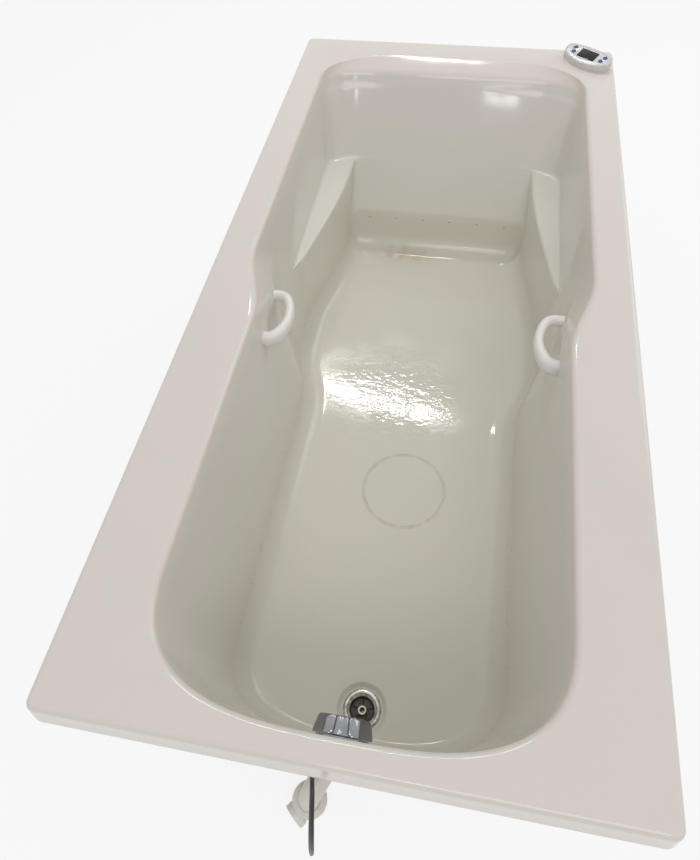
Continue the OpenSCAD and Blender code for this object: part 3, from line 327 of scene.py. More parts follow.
def glassFibreBack():                         # sprayed resin with chopped strands
    mat, tree, shader = newMaterial("glassFibreBack", (0.70, 0.66, 0.54), 0.5)
    coords = addNode(tree, "ShaderNodeTexCoord")
    cells = addNode(tree, "ShaderNodeTexVoronoi", Scale=55.0, Randomness=1.0)
    place = addNode(tree, "ShaderNodeMapping", Scale=(1, 0.35, 1), Rotation=(0, 0, 0.6))
    tree.links.new(coords.outputs["Object"], place.inputs["Vector"])
    tree.links.new(place.outputs["Vector"], cells.inputs["Vector"])
    noise = noiseOn(tree, 40, 8, 0.75, (1, 0.3, 1))
    resin = [(0.3, (0.58, 0.54, 0.42)), (0.55, (0.72, 0.68, 0.56)), (0.75, (0.82, 0.79, 0.69))]
    tree.links.new(rampOf(tree, noise.outputs["Fac"], resin), shader.inputs["Base Color"])
    both = addNode(tree, "ShaderNodeMath", operation='ADD')
    tree.links.new(noise.outputs["Fac"], both.inputs[0])
    tree.links.new(cells.outputs["Distance"], both.inputs[1])
    bumpFrom(tree, shader, both.outputs[0], 0.6, 0.003)
    return mat


def battenWood():
    mat, tree, shader = newMaterial("battenWood", (0.62, 0.46, 0.28), 0.6)
    grain = noiseOn(tree, 9, 6, 0.6, (9, 0.5, 9))
    pine = [(0.30, (0.42, 0.28, 0.15)), (0.5, (0.63, 0.47, 0.28)), (0.7, (0.74, 0.59, 0.39))]
    tree.links.new(rampOf(tree, grain.outputs["Fac"], pine), shader.inputs["Base Color"])
    bumpFrom(tree, shader, grain.outputs["Fac"], 0.3, 0.001)
    return mat


def flakedBoard():
    mat, tree, shader = newMaterial("flakedBoard", (0.55, 0.42, 0.26), 0.7)
    coords = addNode(tree, "ShaderNodeTexCoord")
    flakes = addNode(tree, "ShaderNodeTexVoronoi", Scale=190.0)
    tree.links.new(coords.outputs["Object"], flakes.inputs["Vector"])
    chips = [(0.1, (0.36, 0.26, 0.14)), (0.5, (0.56, 0.43, 0.26)), (0.9, (0.70, 0.57, 0.38))]
    tree.links.new(rampOf(tree, flakes.outputs["Color"], chips), shader.inputs["Base Color"])
    bumpFrom(tree, shader, flakes.outputs["Distance"], 0.4, 0.001)
    return mat


def brushedMetal(name, colour, rough, stretch=(1, 1, 30), scale=60, spread=0.12):
    mat, tree, shader = newMaterial(name, colour, rough, metal=1.0)
    lines = noiseOn(tree, scale, 4, 0.6, stretch)
    tree.links.new(rampOf(tree, lines.outputs["Fac"], [
        (0.3, scaled(colour, 1 - spread)), (0.7, scaled(colour, 1 + spread))]), shader.inputs["Base Color"])
    tree.links.new(rampOf(tree, lines.outputs["Fac"], [
        (0.3, rough*1.5), (0.7, rough*0.7)]), shader.inputs["Roughness"])
    bumpFrom(tree, shader, lines.outputs["Fac"], 0.06, 0.0003)
    return mat


finishes = {
    "acrylic": acrylicGloss(),
    "shellBack": glassFibreBack(),
    "chipboard": flakedBoard(),
    "batten_wood": battenWood(),
    "frame_steel": mottled("powderCoat", (0.13, 0.14, 0.155), 0.42, 0.08, 30, 0.35, bumpDepth=0.0004),
    "foot_rubber": mottled("footRubber", (0.018, 0.018, 0.02), 0.62, 0.3, 45, 0.4),
    "zinc_steel": mottled("zincSteel", (0.62, 0.63, 0.62), 0.33, 0.12, 90, 0.15, metal=1.0),
    "handle_plastic": mottled("handlePlastic", (0.86, 0.84, 0.80), 0.34, 0.015, 20, 0.05,
                              roughSpread=0.04, spec=0.4),
    "drain_steel": brushedMetal("drainSteel", (0.52, 0.50, 0.46), 0.22, (1, 1, 1), 120, 0.45),
    "strainer_plastic": mottled("strainerPlastic", (0.024, 0.023, 0.022), 0.36, 0.35, 120, 0.2, spec=0.3),
    "lifter_brass": mottled("lifterBrass", (0.78, 0.72, 0.60), 0.35, 0.12, 200, 0.2, metal=0.3),
    "seal_rubber": mottled("sealRubber", (0.02, 0.02, 0.022), 0.55, 0.2, 90, 0.3),
    "waste_plastic": mottled("wastePlastic", (0.78, 0.755, 0.70), 0.34, 0.03, 25, 0.12),
    # the knob's chrome is made dark to stand in for the dark room it reflects: a painted dark reflection
    "knob_chrome": brushedMetal("knobChrome", (0.27, 0.28, 0.30), 0.09, (1, 1, 1), 40, 0.25),
    "spindle_metal": brushedMetal("spindleMetal", (0.60, 0.58, 0.53), 0.25),
    "hose_plastic": mottled("hosePlastic", (0.62, 0.62, 0.60), 0.42, 0.06, 30, 0.15),
    "cable_sheath": mottled("cableSheath", (0.014, 0.014, 0.016), 0.38, 0.3, 70, 0.2),
    "air_fitting": mottled("airFitting", (0.74, 0.73, 0.70), 0.35, 0.05, 40, 0.1),
    "blower_plastic": mottled("blowerPlastic", (0.05, 0.052, 0.058), 0.5, 0.15, 60, 0.35, bumpDepth=0.0004),
    "tray_steel": mottled("traySteel", (0.55, 0.56, 0.57), 0.4, 0.15, 12, 0.15, metal=1.0),
    "box_plastic": mottled("boxPlastic", (0.60, 0.61, 0.62), 0.5, 0.05, 50, 0.35, bumpDepth=0.0004),
    "keypad_plastic": mottled("keypadPlastic", (0.70, 0.655, 0.635), 0.34, 0.03, 50, 0.15),
    "keypad_foil": mottled("keypadFoil", (0.60, 0.61, 0.62), 0.36, 0.22, 420, 0.12, metal=0.35),
    "lcd_glass": mottled("lcdGlass", (0.022, 0.019, 0.016), 0.12, 0.15, 60, 0.0,
                         roughSpread=0.03, spec=0.25),
    "button_rubber": mottled("buttonRubber", (0.045, 0.075, 0.22), 0.42, 0.1, 200, 0.2),
}
print("finishes made:", len(finishes))


# the shell's sizes in mm, as in the solid; halves are from the middle, depths down from the rim
rim = {"length": 1700, "width": 800, "height": 580, "drop": 40, "flare": 7, "edge": 8, "corner": 14,
       "wall": 6}
basinShape = {"depth": 430, "footHalf": 284, "headHalf": 328, "draft": 0.085, "footDeck": 37,
              "footDraft": 0.07, "footArc": 193, "headDeck": 66, "headArc": 182, "edge": 10,
              "floorEdge": 50, "footFillet": 0.45, "cornerPower": 4.6}
backShape = {"band": 52, "bandDrop": 20, "slope": 0.587, "riser": 325, "riserDraft": 0.1, "riserBlend": 7}
waist = {"y": -170, "length": 182, "shift": 82, "pad": 78, "pocket": 12, "pocketLength": 52,
         "pocketHeight": 42}
armrest = {"depth": 200, "y": 160, "width": 63, "length": 446, "edge": 8}
handle = {"span": 116, "reach": 35, "depth": 78, "thick": 18, "high": 23, "cornerTurn": 62, "cornerArc": 24,
          "sectionPower": 0.9, "footSwell": 1.40, "headThin": 1.04, "footShare": 0.55, "headShare": 0.45,
          "leftLag": 8}

footArcY = -rim["length"]/2 + basinShape["footDeck"] + basinShape["footArc"]
bandY = rim["length"]/2 - basinShape["headDeck"]
handleY = waist["y"] + 84
floorZ = rim["height"] - basinShape["depth"]


def backY(d):
    b = backShape
    slant = bandY - b["band"] - b["slope"]*(d - b["bandDrop"])
    riser = bandY - b["band"] - b["slope"]*(b["riser"] - b["bandDrop"]) - b["riserDraft"]*(d - b["riser"])
    k = b["riserBlend"]
    h = clamp01(0.5 + (slant - riser)/(2*k))
    return mix(riser, slant, h) + k*h*(1 - h)/2


def footWallY(d): return -rim["length"]/2 + basinShape["footDeck"] + basinShape["footDraft"]*d


def wallX(y, d):
    w, b = waist, basinShape
    t = smooth((y - w["y"] - w["shift"]*clamp01(d/w["pad"]))/w["length"])
    below = bell((d - handle["depth"] - 12)/w["pocketHeight"])
    hollow = w["pocket"]*bell((y - handleY)/w["pocketLength"])*below
    return mix(b["footHalf"], b["headHalf"], t) - b["draft"]*d + hollow


def armEdge(y):
    a = armrest
    u = clamp01((y - a["y"])/a["length"])
    return basinShape["headHalf"] - basinShape["draft"]*a["depth"] - a["width"]*sinD(90*u)**1.15


def softMin(a, b, k):
    h = clamp01(0.5 + (b - a)/(2*k))
    return mix(b, a, h) - k*h*(1 - h)


def armX(y, d):                               # armrest's inner face, rounded under, thin at its tip
    if y <= armrest["y"]: return rim["width"]
    r = armrest["edge"]*smooth((y - armrest["y"])/60)
    e = clamp01((d - armrest["depth"])/max(r, 0.01))
    return armEdge(y) - r*math.sqrt(1 - (1 - e)**2)


def armCove(y, d):                            # the wall above runs in to the armrest's top
    if y <= armrest["y"]: return 0.0
    e = clamp01((armrest["depth"] - d)/armrest["edge"])
    top = wallX(y, armrest["depth"]) - armEdge(y)
    return min(armrest["edge"]*(1 - math.sqrt(1 - (1 - e)**2)), max(top, 0)/2)


def cornerBlend(y, d):                        # armrest and backrest flow into one another
    near = mix(22, 52, clamp01((d - armrest["depth"])/(backShape["riser"] - armrest["depth"])))
    return 2 + near*smooth((y - backY(d) + 130)/60)


def sideX(y, d, under):
    if not under: return wallX(y, d) - armCove(y, d)
    return softMin(wallX(y, d), armX(y, d), 2)


def deepArc(d): return mix(122, 72, clamp01((d - 40)/290))


def makeLevels():
    # a level: side depth, head depth, head end, arc, power, out, under, inset, also on the outer skin
    b, levels = basinShape, []
    for i in range(9):
        a = 90*i/8
        q = throughPoints([0, 30, 60, 90], [0, 0.1, 0.62, 0.93], a)
        levels.append([b["edge"]*(1 - cosD(a)), backShape["bandDrop"]*q**1.2,
                       mix(bandY, bandY - backShape["band"], q), mix(b["headArc"], 132, q),
                       throughPoints([0, 30, 60, 90], [3, 3.2, 4.2, 5], a),
                       b["edge"]*(1 - sinD(a)), 0, 0, i in (0, 4, 8)])
    for d in (14, 18, 22, 26, 30, 35, 40, 45):
        h = d + throughPoints([10, 18, 30, 50], [8.3, 10, 10, 0], d)
        arc = throughPoints([10, 18, 30, 50], [135.5, 126, 122, deepArc(50)], d)
        power = throughPoints([10, 18, 30, 50], [5, 5, 5, b["cornerPower"]], d)
        levels.append([d, h, backY(h), arc, power, 0, 0, 0, d in (18, 30)])

    def plain(d, under, skin=False):
        levels.append([d, d, backY(d), deepArc(d), b["cornerPower"], 0, under, 0, skin])

    for d in (50, 55, 60, 65, 70, 74, 76.5, 78, 79.5, 82, 86, 92, 98,
              105, 112, 120, 130, 140, 155, 170, 183):
        plain(d, 0, d in (50, 74, 82, 98, 120, 155))
    ledge = armrest["depth"]
    for e in (1, 0.7, 0.45, 0.25, 0.1, 0.02): plain(ledge - e*armrest["edge"], 0, e in (1, 0.02))
    for e in (0.01, 0.06, 0.15, 0.3, 0.5, 0.75, 1): plain(ledge + e*armrest["edge"], 1, e in (0.01, 1))
    for d in (ledge + 11, ledge + 15, ledge + 20, ledge + 26): plain(d, 1, d == ledge + 20)
    d = ledge + 34
    while d < backShape["riser"] - 12:
        plain(d, 1)
        d += 10
    levels[-5][8] = True                      # of these, the outer skin keeps one
    for k in (-10, -6, -3, 0, 3, 6, 10, 20, 32): plain(backShape["riser"] + k, 1, k in (-6, 6))
    for i in range(11):
        a = 9*i
        d = b["depth"] - b["floorEdge"]*(1 - sinD(a))
        levels.append([d, d, backY(d), deepArc(d), b["cornerPower"], 0, 1,
                       b["floorEdge"]*(1 - cosD(a)), i in (0, 5, 8, 10)])
    return levels


sideYs = ([footArcY + 8 + 16*i for i in range(24)] + [-226 + 6*i for i in range(70)]
          + [196 + 12*i for i in range(18)])
footSteps, headSteps, endSteps = 34, 28, 8


def levelPoint(level, y, c, h=0.0):
    d = mix(level[0], level[1], h)
    if level[6]: x = softMin((wallX(y, d) - level[7])*c, armX(y, d) - level[7], cornerBlend(y, d))
    else: x = (sideX(y, d, 0) + level[5])*c
    return (x, y, rim["height"] - d)


def halfLevel(level):
    half = []
    b = (basinShape["footArc"] - basinShape["footDraft"]*level[0] + level[5]
         - basinShape["footFillet"]*level[7])
    for j in range(footSteps + 1):
        a = 90*(1 - (j/footSteps)**0.9)
        half.append(levelPoint(level, footArcY - b*sinD(a)**(2/3), abs(cosD(a))**(2/3)))
    half += [levelPoint(level, y, 1) for y in sideYs]
    endY = level[2] - level[3]
    half += [levelPoint(level, mix(sideYs[-1], endY, (i + 1)/(endSteps + 1)), 1) for i in range(endSteps)]
    b, n = level[3] - level[7], 2/level[4]
    for j in range(headSteps + 1):
        a = 90*(j/headSteps)
        s = sinD(a)**n
        half.append(levelPoint(level, endY + b*s, 0 if j == headSteps else cosD(a)**n, smooth(s)))
    return half


def mirrored(half): return half + [(-p[0], p[1], p[2]) for p in half[-2:0:-1]]


def rimEnd(hw, hl, r, s, count):
    flat, turn = int(count*0.5), 8
    pts = [((hw - r)*j/flat, s*hl) for j in range(flat)]
    pts += [(hw - r + r*sinD(a), s*(hl - r + r*cosD(a))) for a in [90*j/turn for j in range(turn + 1)]]
    left = count - len(pts)
    return pts + [(hw, s*mix(hl - r, hl - 200, (j + 1)/left)) for j in range(left)]


def rimRing(hw, hl, z):
    r = rim["corner"] + hw - rim["width"]/2
    foot, head = rimEnd(hw, hl, r, -1, footSteps + 1), rimEnd(hw, hl, r, 1, headSteps + 1)
    top = rim["length"]/2 - 200
    side = [(hw, y) for y in sideYs]
    side += [(hw, mix(sideYs[-1], top, (i + 1)/(endSteps + 1))) for i in range(endSteps)]
    return mirrored([(p[0], p[1], z) for p in foot + side + head[::-1]])


def ladderFaces(n, first, turned):
    faces = [[i, i + 1, n - i - 1, n - i] for i in range(1, n//2 - 1)]
    faces = [[0, 1, n - 1]] + faces + [[n//2 - 1, n//2, n//2 + 1]]
    return [[first + k for k in (f[::-1] if turned else f)] for f in faces]


def makeShell():
    levels = makeLevels()
    inner = [mirrored(halfLevel(level)) for level in levels]
    n = len(inner[0])
    grid = np.array(inner)
    around = np.roll(grid, -1, axis=1) - np.roll(grid, 1, axis=1)
    down = np.concatenate([grid[1:], grid[-1:]]) - np.concatenate([grid[:1], grid[:-1]])
    normal = np.cross(down, around)
    normal /= np.linalg.norm(normal, axis=2, keepdims=True)
    normal[0] = normal[-1] = (0, 0, -1)
    skin = [[tuple(p) for p in grid[k] + rim["wall"]*normal[k]]
            for k, level in enumerate(levels) if level[8]]
    hw, hl, r = rim["width"]/2, rim["length"]/2, rim["edge"]
    edge = []
    for a in range(0, 91, 15):
        within = r*(1 - sinD(a))
        edge.append(rimRing(hw - within, hl - within, rim["height"] - r*(1 - cosD(a))))
    low = rim["height"] - rim["drop"]
    inset = rimRing(hw - r - 3, hl - r - 3, rim["height"])
    lip = [rimRing(hw + rim["flare"] - t, hl + rim["flare"] - t, low + z)
           for t, z in ((0.5, 4), (0, 1.5), (0.6, 0.3), (1.8, 0), (rim["wall"] - 1, 0), (rim["wall"], 1.2))]
    inside = rimRing(hw - rim["wall"], hl - rim["wall"], rim["height"] - rim["wall"])
    rings = inner[::-1] + [inset] + edge + lip + [inside] + skin
    points = [p for ring in rings for p in ring]
    faces = ladderFaces(n, 0, False)
    glossyLip, glossyFaces = 3, 0             # the gloss ends under the lip, after its third ring
    for k in range(len(rings) - 1):
        if k == len(inner) + 1 + len(edge) + glossyLip: glossyFaces = len(faces)
        for i in range(n):
            j = (i + 1) % n
            faces.append([k*n + i, (k + 1)*n + i, (k + 1)*n + j, k*n + j])
    faces += ladderFaces(n, (len(rings) - 1)*n, True)
    shell = meshPiece("tubShell", points, faces)
    shell.data.materials.append(finishes["acrylic"])
    shell.data.materials.append(finishes["shellBack"])
    for p in shell.data.polygons: p.material_index = 0 if p.index < glossyFaces else 1
    bm = bmesh.new()
    bm.from_mesh(shell.data)
    bmesh.ops.recalc_face_normals(bm, faces=bm.faces)
    bm.to_mesh(shell.data)
    bm.free()
    return shell


def ringFaces(count, rows):                   # walls between rings of as many points each
    faces = []
    for k in range(rows - 1):
        for i in range(count):
            j = (i + 1) % count
            faces.append([k*count + i, k*count + j, (k + 1)*count + j, (k + 1)*count + i])
    return faces


def endFaces(count, rows): return [list(range(count))[::-1], [(rows - 1)*count + i for i in range(count)]]


def lathePiece(name, profile, segments, place):
    points = []
    for r, z in profile:
        for i in range(segments):
            a = 2*math.pi*i/segments
            points.append(place @ Vector((r*math.cos(a), r*math.sin(a), z)))
    m = len(profile)
    faces = ringFaces(segments, m)
    if profile[0] != profile[-1]: faces += endFaces(segments, m)
    else:
        for i in range(segments):
            points[(m - 1)*segments + i] = points[i]
    piece = meshPiece(name, points, faces)
    faceOut(piece)
    return piece


def rodPiece(name, radius, low, high, segments, place):
    return lathePiece(name, [(0.01, low), (radius, low), (radius, high), (0.01, high)], segments, place)


def turnTo(direction):                        # rotation that takes +Z to a direction
    return Vector((0, 0, 1)).rotation_difference(Vector(direction)).to_matrix().to_4x4()


def atPlace(point, direction=(0, 0, 1)): return Matrix.Translation(Vector(point)) @ turnTo(direction)


drain = {"y": 133, "dishDepth": 8, "hole": 26.5, "flangeRise": 2.5,
         "boss": 54, "bossLow": 11.5, "bossHigh": 3}
overflow = {"depth": 75, "hole": 27, "plate": 3, "hose": 15}
jets = {"radius": 2, "pitch": 76, "side": 12, "back": 6}

drainAt = (0, -rim["length"]/2 + drain["y"], floorZ)
overDrain = Matrix.Translation((drainAt[0], drainAt[1], 0))
overflowAt = (0, footWallY(overflow["depth"]), rim["height"] - overflow["depth"])
overflowLean = math.atan(basinShape["footDraft"])
overflowOut = (0, math.cos(overflowLean), math.sin(overflowLean))
jetSideDepth = basinShape["depth"] - basinShape["floorEdge"] - 8
jetHeadDepth = backShape["riser"] + 15


def levelAt(d): return [d, d, backY(d), deepArc(d), basinShape["cornerPower"], 0, 1, 0]


def riserY(x, d):
    half = halfLevel(levelAt(d))[-headSteps - 1:]
    for a, b in zip(half, half[1:]):
        if b[0] <= abs(x) <= a[0]: return mix(a[1], b[1], (a[0] - abs(x))/(a[0] - b[0]))
    return half[-1][1]


def jetPlaces():
    places = []
    for i in range(jets["side"]):
        y = footArcY + 6 + jets["pitch"]*i
        x = sideX(y, jetSideDepth, 1)
        slopeY = (sideX(y + 2, jetSideDepth, 1) - sideX(y - 2, jetSideDepth, 1))/4
        n = Vector((1, -slopeY, -basinShape["draft"])).normalized()
        for s in (-1, 1): places.append(((s*x, y, rim["height"] - jetSideDepth), (s*n.x, n.y, n.z)))
    for i in range(jets["back"]):
        x = jets["pitch"]*(i - (jets["back"] - 1)/2)
        slopeX = (riserY(x + 2, jetHeadDepth) - riserY(x - 2, jetHeadDepth))/4
        n = Vector((-slopeX, 1, -backShape["riserDraft"])).normalized()
        places.append(((x, riserY(x, jetHeadDepth), rim["height"] - jetHeadDepth), n))
    return places


def keepSmooth(piece, source):                # normals of the uncut skin, also beside the holes
    inwards, onSkin, sameWay = 0.002, 0.0002, 0.9
    tree = BVHTree.FromObject(source, bpy.context.evaluated_depsgraph_get())
    smoothUpTo(piece, 32)
    mesh, src = piece.data, source.data
    normals = [Vector(n.vector) for n in mesh.corner_normals]
    srcNormals = [Vector(n.vector) for n in src.corner_normals]
    for poly in mesh.polygons:
        for li in poly.loop_indices:
            co = mesh.vertices[mesh.loops[li].vertex_index].co
            found, _, index, dist = tree.find_nearest(co - (co - poly.center)*inwards)
            if found is None or dist > onSkin: continue
            sp = src.polygons[index]
            if sp.normal.dot(poly.normal) < sameWay: continue
            weights, total = [], 0
            for sl in sp.loop_indices:
                w = 1/max(1e-9, (src.vertices[src.loops[sl].vertex_index].co - found).length)**2
                weights.append((w, sl))
                total += w
            blend = Vector((0, 0, 0))
            for w, sl in weights: blend += srcNormals[sl]*(w/total)
            if blend.length > 0.1: normals[li] = blend.normalized()
    mesh.normals_split_custom_set([tuple(n) for n in normals])


shell = makeShell()
smoothUpTo(shell, 40)
uncut = shell.copy()
uncut.data = shell.data.copy()
bpy.context.scene.collection.objects.link(uncut)
boss = rodPiece("boss", drain["boss"], floorZ - drain["bossLow"], floorZ - drain["bossHigh"], 96, overDrain)
cutWith(shell, boss, 'UNION')
dish = [(0.01, -40), (drain["hole"], -40), (drain["hole"], -8), (39, -8), (40.2, -7.7), (41, -7),
        (45.8, -1.4), (47, -0.55), (48.6, -0.12), (50.5, 0.06), (50.6, 8), (0.01, 8)]
cutters = [lathePiece("dish", dish, 128, atPlace(drainAt)),
           rodPiece("overflowHole", overflow["hole"], -20, 20, 96, atPlace(overflowAt, overflowOut))]
for place, direction in jetPlaces():
    cutters.append(rodPiece("jet", jets["radius"], -6, 14, 14, atPlace(place, direction)))
cutWith(shell, joinPieces(cutters))
keepSmooth(shell, uncut)
bpy.data.objects.remove(uncut)
finished(shell, "bath", "acrylic", None, "tub_shell")
print("tub shell:", len(shell.data.polygons), "faces")


def splinePath(points, steps):
    pts = [Vector(p) for p in points]
    path = []
    for i in range(len(pts) - 1):
        a, b, c, e = pts[max(i - 1, 0)], pts[i], pts[i + 1], pts[min(i + 2, len(pts) - 1)]
        for k in range(steps):
            t = k/steps
            path.append(0.5*(2*b + (c - a)*t + (2*a - 5*b + 4*c - e)*t*t + (3*b - a - 3*c + e)*t**3))
    return path + [pts[-1]]


def evenPath(path, spacing):
    lengths = [0.0]
    for a, b in zip(path, path[1:]): lengths.append(lengths[-1] + (b - a).length)
    count = max(2, round(lengths[-1]/spacing))
    out, k = [], 0
    for i in range(count + 1):
        s = lengths[-1]*i/count
        while k < len(path) - 2 and lengths[k + 1] < s: k += 1
        span = lengths[k + 1] - lengths[k]
        out.append(path[k].lerp(path[k + 1], clamp01((s - lengths[k])/span) if span else 0))
    return out


def sweptPiece(name, path, outline, start=(0, 0, 1), sizes=None):
    # outline: (along u, along v) points of the section; sizes: scale at each path point
    n, m = len(outline), len(path)
    u = Vector(start)
    points = []
    for i, p in enumerate(path):
        t = (path[min(i + 1, m - 1)] - path[max(i - 1, 0)]).normalized()
        u = (u - t*u.dot(t)).normalized()
        v = t.cross(u)
        k = sizes[i] if sizes else 1.0
        points += [p + u*(a*k) + v*(b*k) for a, b in outline]
    piece = meshPiece(name, points, ringFaces(n, m) + endFaces(n, m))
    faceOut(piece)
    return piece


def roundSection(r, sides):
    return [(r*math.cos(2*math.pi*i/sides), r*math.sin(2*math.pi*i/sides)) for i in range(sides)]


def handlePath(y):
    h = handle
    side = h["span"]/2 - h["cornerArc"]
    crown = h["cornerArc"] + side/cosD(h["cornerTurn"])
    crownX = sideX(handleY - h["span"]/2, h["depth"], 0) - h["reach"] + crown
    cornerX = crownX - (crown - h["cornerArc"])*sinD(h["cornerTurn"])
    crownPts = [(crownX + crown*cosD(a), y + crown*sinD(a))
                for a in [mix(208, 152, i/24) for i in range(25)]]
    def corner(s):
        return [(cornerX + h["cornerArc"]*cosD(a), y + s*(side + h["cornerArc"]*sinD(a)))
                for a in [90 + h["cornerTurn"]*j/10 for j in range(10)]]
    def foot(s): return (sideX(y + s*h["span"]/2, h["depth"], 0) + 1.0, y + s*h["span"]/2)
    line = [foot(-1)] + corner(-1) + crownPts + corner(1)[::-1] + [foot(1)]
    return [Vector((px, py, rim["height"] - h["depth"])) for px, py in line]


def makeHandle(side):                         # swollen towards its foot end, as the grip is
    h = handle
    middle = handleY - (h["leftLag"] if side < 0 else 0)
    path = evenPath(splinePath([(side*p.x, p.y, p.z) for p in handlePath(middle)], 3), 2.0)
    a, b = h["high"]/2, h["thick"]/2
    section, sizes = [], []
    for i in range(36):
        c, s = math.cos(2*math.pi*i/36), math.sin(2*math.pi*i/36)
        section.append((a*math.copysign(abs(c)**h["sectionPower"], c),
                        b*math.copysign(abs(s)**h["sectionPower"], s)))
    for p in path:
        along = 0.5 + (p.y - middle)/h["span"]
        beyond = along - h["footShare"]
        if beyond < 0: sizes.append(mix(h["footSwell"], 1.0, smooth(along/h["footShare"])))
        else: sizes.append(mix(1.0, h["headThin"], smooth(beyond/h["headShare"])))
    piece = sweptPiece("grabHandle" + ("Left" if side < 0 else "Right"), path, section, (0, 0, 1), sizes)
    smoothUpTo(piece, 50)
    return piece


finished(makeHandle(-1), "bath", "handle_plastic", finishes["handle_plastic"], "grab_handle_left")
finished(makeHandle(1), "bath", "handle_plastic", finishes["handle_plastic"], "grab_handle_right")

wasteAt = Vector(drainAt) - Vector((0, 0, drain["dishDepth"] - drain["flangeRise"]))
hoses = {"armZ": -38, "hoseTurn": -50, "socket": 46, "body": 33, "airHose": 11, "jetGap": 6,
         "blowerHose": 16, "cable": 2.85, "ribDepth": 0.12, "plainEnd": 14}


def ribbed(path, pitch):                      # scale at each point, ribs fading out at both ends
    total, s = [], 0.0
    for i, p in enumerate(path):
        if i: s += (p - path[i - 1]).length
        total.append(s)
    return [1 - hoses["ribDepth"]*(0.5 - 0.5*math.cos(2*math.pi*t/pitch))
            * clamp01(min(t, s - t)/hoses["plainEnd"]) for t in total]


def overflowHosePoints():
    spigot = -rim["wall"] - overflow["hose"] - 4
    top = Vector((0, overflowAt[1] + spigot*overflowOut[1],
                  overflowAt[2] + spigot*overflowOut[2] - hoses["body"] - 2))

    def lead(l):
        out = hoses["socket"] + l
        return wasteAt + Vector((cosD(hoses["hoseTurn"])*out, sinD(hoses["hoseTurn"])*out, hoses["armZ"]))

    drop = top.z - wasteAt.z - hoses["armZ"]
    return [top, top - Vector((0, 0, 20)), top - Vector((0, 0, 45)), top + Vector((14, 3, -drop*0.36)),
            top + Vector((52, 14, -drop*0.62)), lead(66) + Vector((12, -12, 74)),
            lead(66) + Vector((0, 0, 14)), lead(34), lead(10), lead(-12)]


path = evenPath(splinePath(overflowHosePoints(), 8), 1.25)
hose = sweptPiece("overflowHose", path, roundSection(overflow["hose"], 24), (1, 0, 0), ribbed(path, 6.0))
smoothUpTo(hose, 60)
finished(hose, "bath", "hose_plastic", finishes["hose_plastic"], "overflow_hose")

# each point: across, out from the rim's foot end, height
cableShape = [(-25.4, -14.4, 472.6), (-30, -10, 466), (-33.5, 4, 460), (-30, 22, 456), (-26.5, 50, 437),
              (-24.5, 75, 403), (-26, 88, 360), (-31.5, 91, 312), (-39, 85, 264), (-47.5, 68, 220),
              (-56, 42, 184), (-65, 8, 157), (-74.5, -29, 138), (-82, -64, 126), (-79, -94, 119),
              (-64, -112, 115), (-46, -117, 113)]
cablePoints = [(x, -rim["length"]/2 - out, z) for x, out, z in cableShape]
cable = sweptPiece("pullCable", splinePath(cablePoints, 8), roundSection(hoses["cable"], 16))
smoothUpTo(cable, 60)
finished(cable, "bath", "cable_sheath", finishes["cable_sheath"], "pull_cable")


def airHosePath():
    # the loop behind the jets, as far from the wall as the nozzles are long
    level = [jetSideDepth] + levelAt(jetHeadDepth)[1:]
    straightEnd, n = 400, 2/level[4]
    coarse = [mix(footArcY + 40, waist["y"] - 50, i/5) for i in range(6)]
    coarse += [waist["y"] - 20 + 30*i for i in range(13)]
    coarse += [mix(armrest["y"] + 30, straightEnd, i/4) for i in range(1, 5)]
    half = [levelPoint(level, y, 1) for y in coarse]
    endY = level[2] - level[3]
    half.append(levelPoint(level, mix(straightEnd, endY, 0.5), 1))
    for j in range(11):
        s = sinD(9*j)**n
        half.append(levelPoint(level, endY + level[3]*s, 0 if j == 10 else cosD(9*j)**n, smooth(s)))
    line = [Vector(p) for p in half] + [Vector((-p[0], p[1], p[2])) for p in half[-2::-1]]
    out = []
    reach = rim["wall"] + hoses["jetGap"] + hoses["airHose"]
    for i, p in enumerate(line):
        t = (line[min(i + 1, len(line) - 1)] - line[max(i - 1, 0)]).normalized()
        out.append(p + Vector((t.y, -t.x, -0.08)).normalized()*reach)
    return out


airPath = airHosePath()
airHose = sweptPiece("airHose", airPath, roundSection(hoses["airHose"], 20))
smoothUpTo(airHose, 60)
finished(airHose, "bath", "hose_plastic", finishes["hose_plastic"], "air_hose")

boardZ = floorZ - rim["wall"] - 15
headY = rim["length"]/2
blowerTop = Vector((-110, headY - 145, boardZ + 3 + 150))
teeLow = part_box("air_tee")[0]
teeY = teeLow.y/mm - offsetY/mm + hoses["airHose"] + 4
teeZ = rim["height"] - jetHeadDepth - 0.08*(rim["wall"] + hoses["jetGap"] + hoses["airHose"])
blowerPoints = [(0, teeY + 17, teeZ), (0, teeY + 38, teeZ), (0, teeY + 62, teeZ + 6),
                (-8, teeY + 92, teeZ + 50),
                (-30, headY - 112, 420), (-62, headY - 92, 500), (-88, headY - 94, 512),
                (-108, headY - 118, 470)]
blowerPoints += [blowerTop + Vector((0, 0, z)) for z in (60, 30, 4)]
path = evenPath(splinePath(blowerPoints, 8), 1.25)
blowerHose = sweptPiece("blowerHose", path, roundSection(hoses["blowerHose"], 24), (1, 0, 0),
                        ribbed(path, 6.5))
smoothUpTo(blowerHose, 60)
finished(blowerHose, "bath", "hose_plastic", finishes["hose_plastic"], "blower_hose")
print("hoses and cable made")


knob = {"radius": 40, "length": 23, "gap": 1, "segments": 240,
        "flats": (90, 210, 330), "flatReach": 55, "flatDepth": 3.5, "flatLean": 0.12,
        "fluteGroups": (30, 150, 270), "fluteTurns": (-18, 0, 18), "fluteDepth": 3.4, "fluteWidth": 5.4,
        "fluteStart": 3}


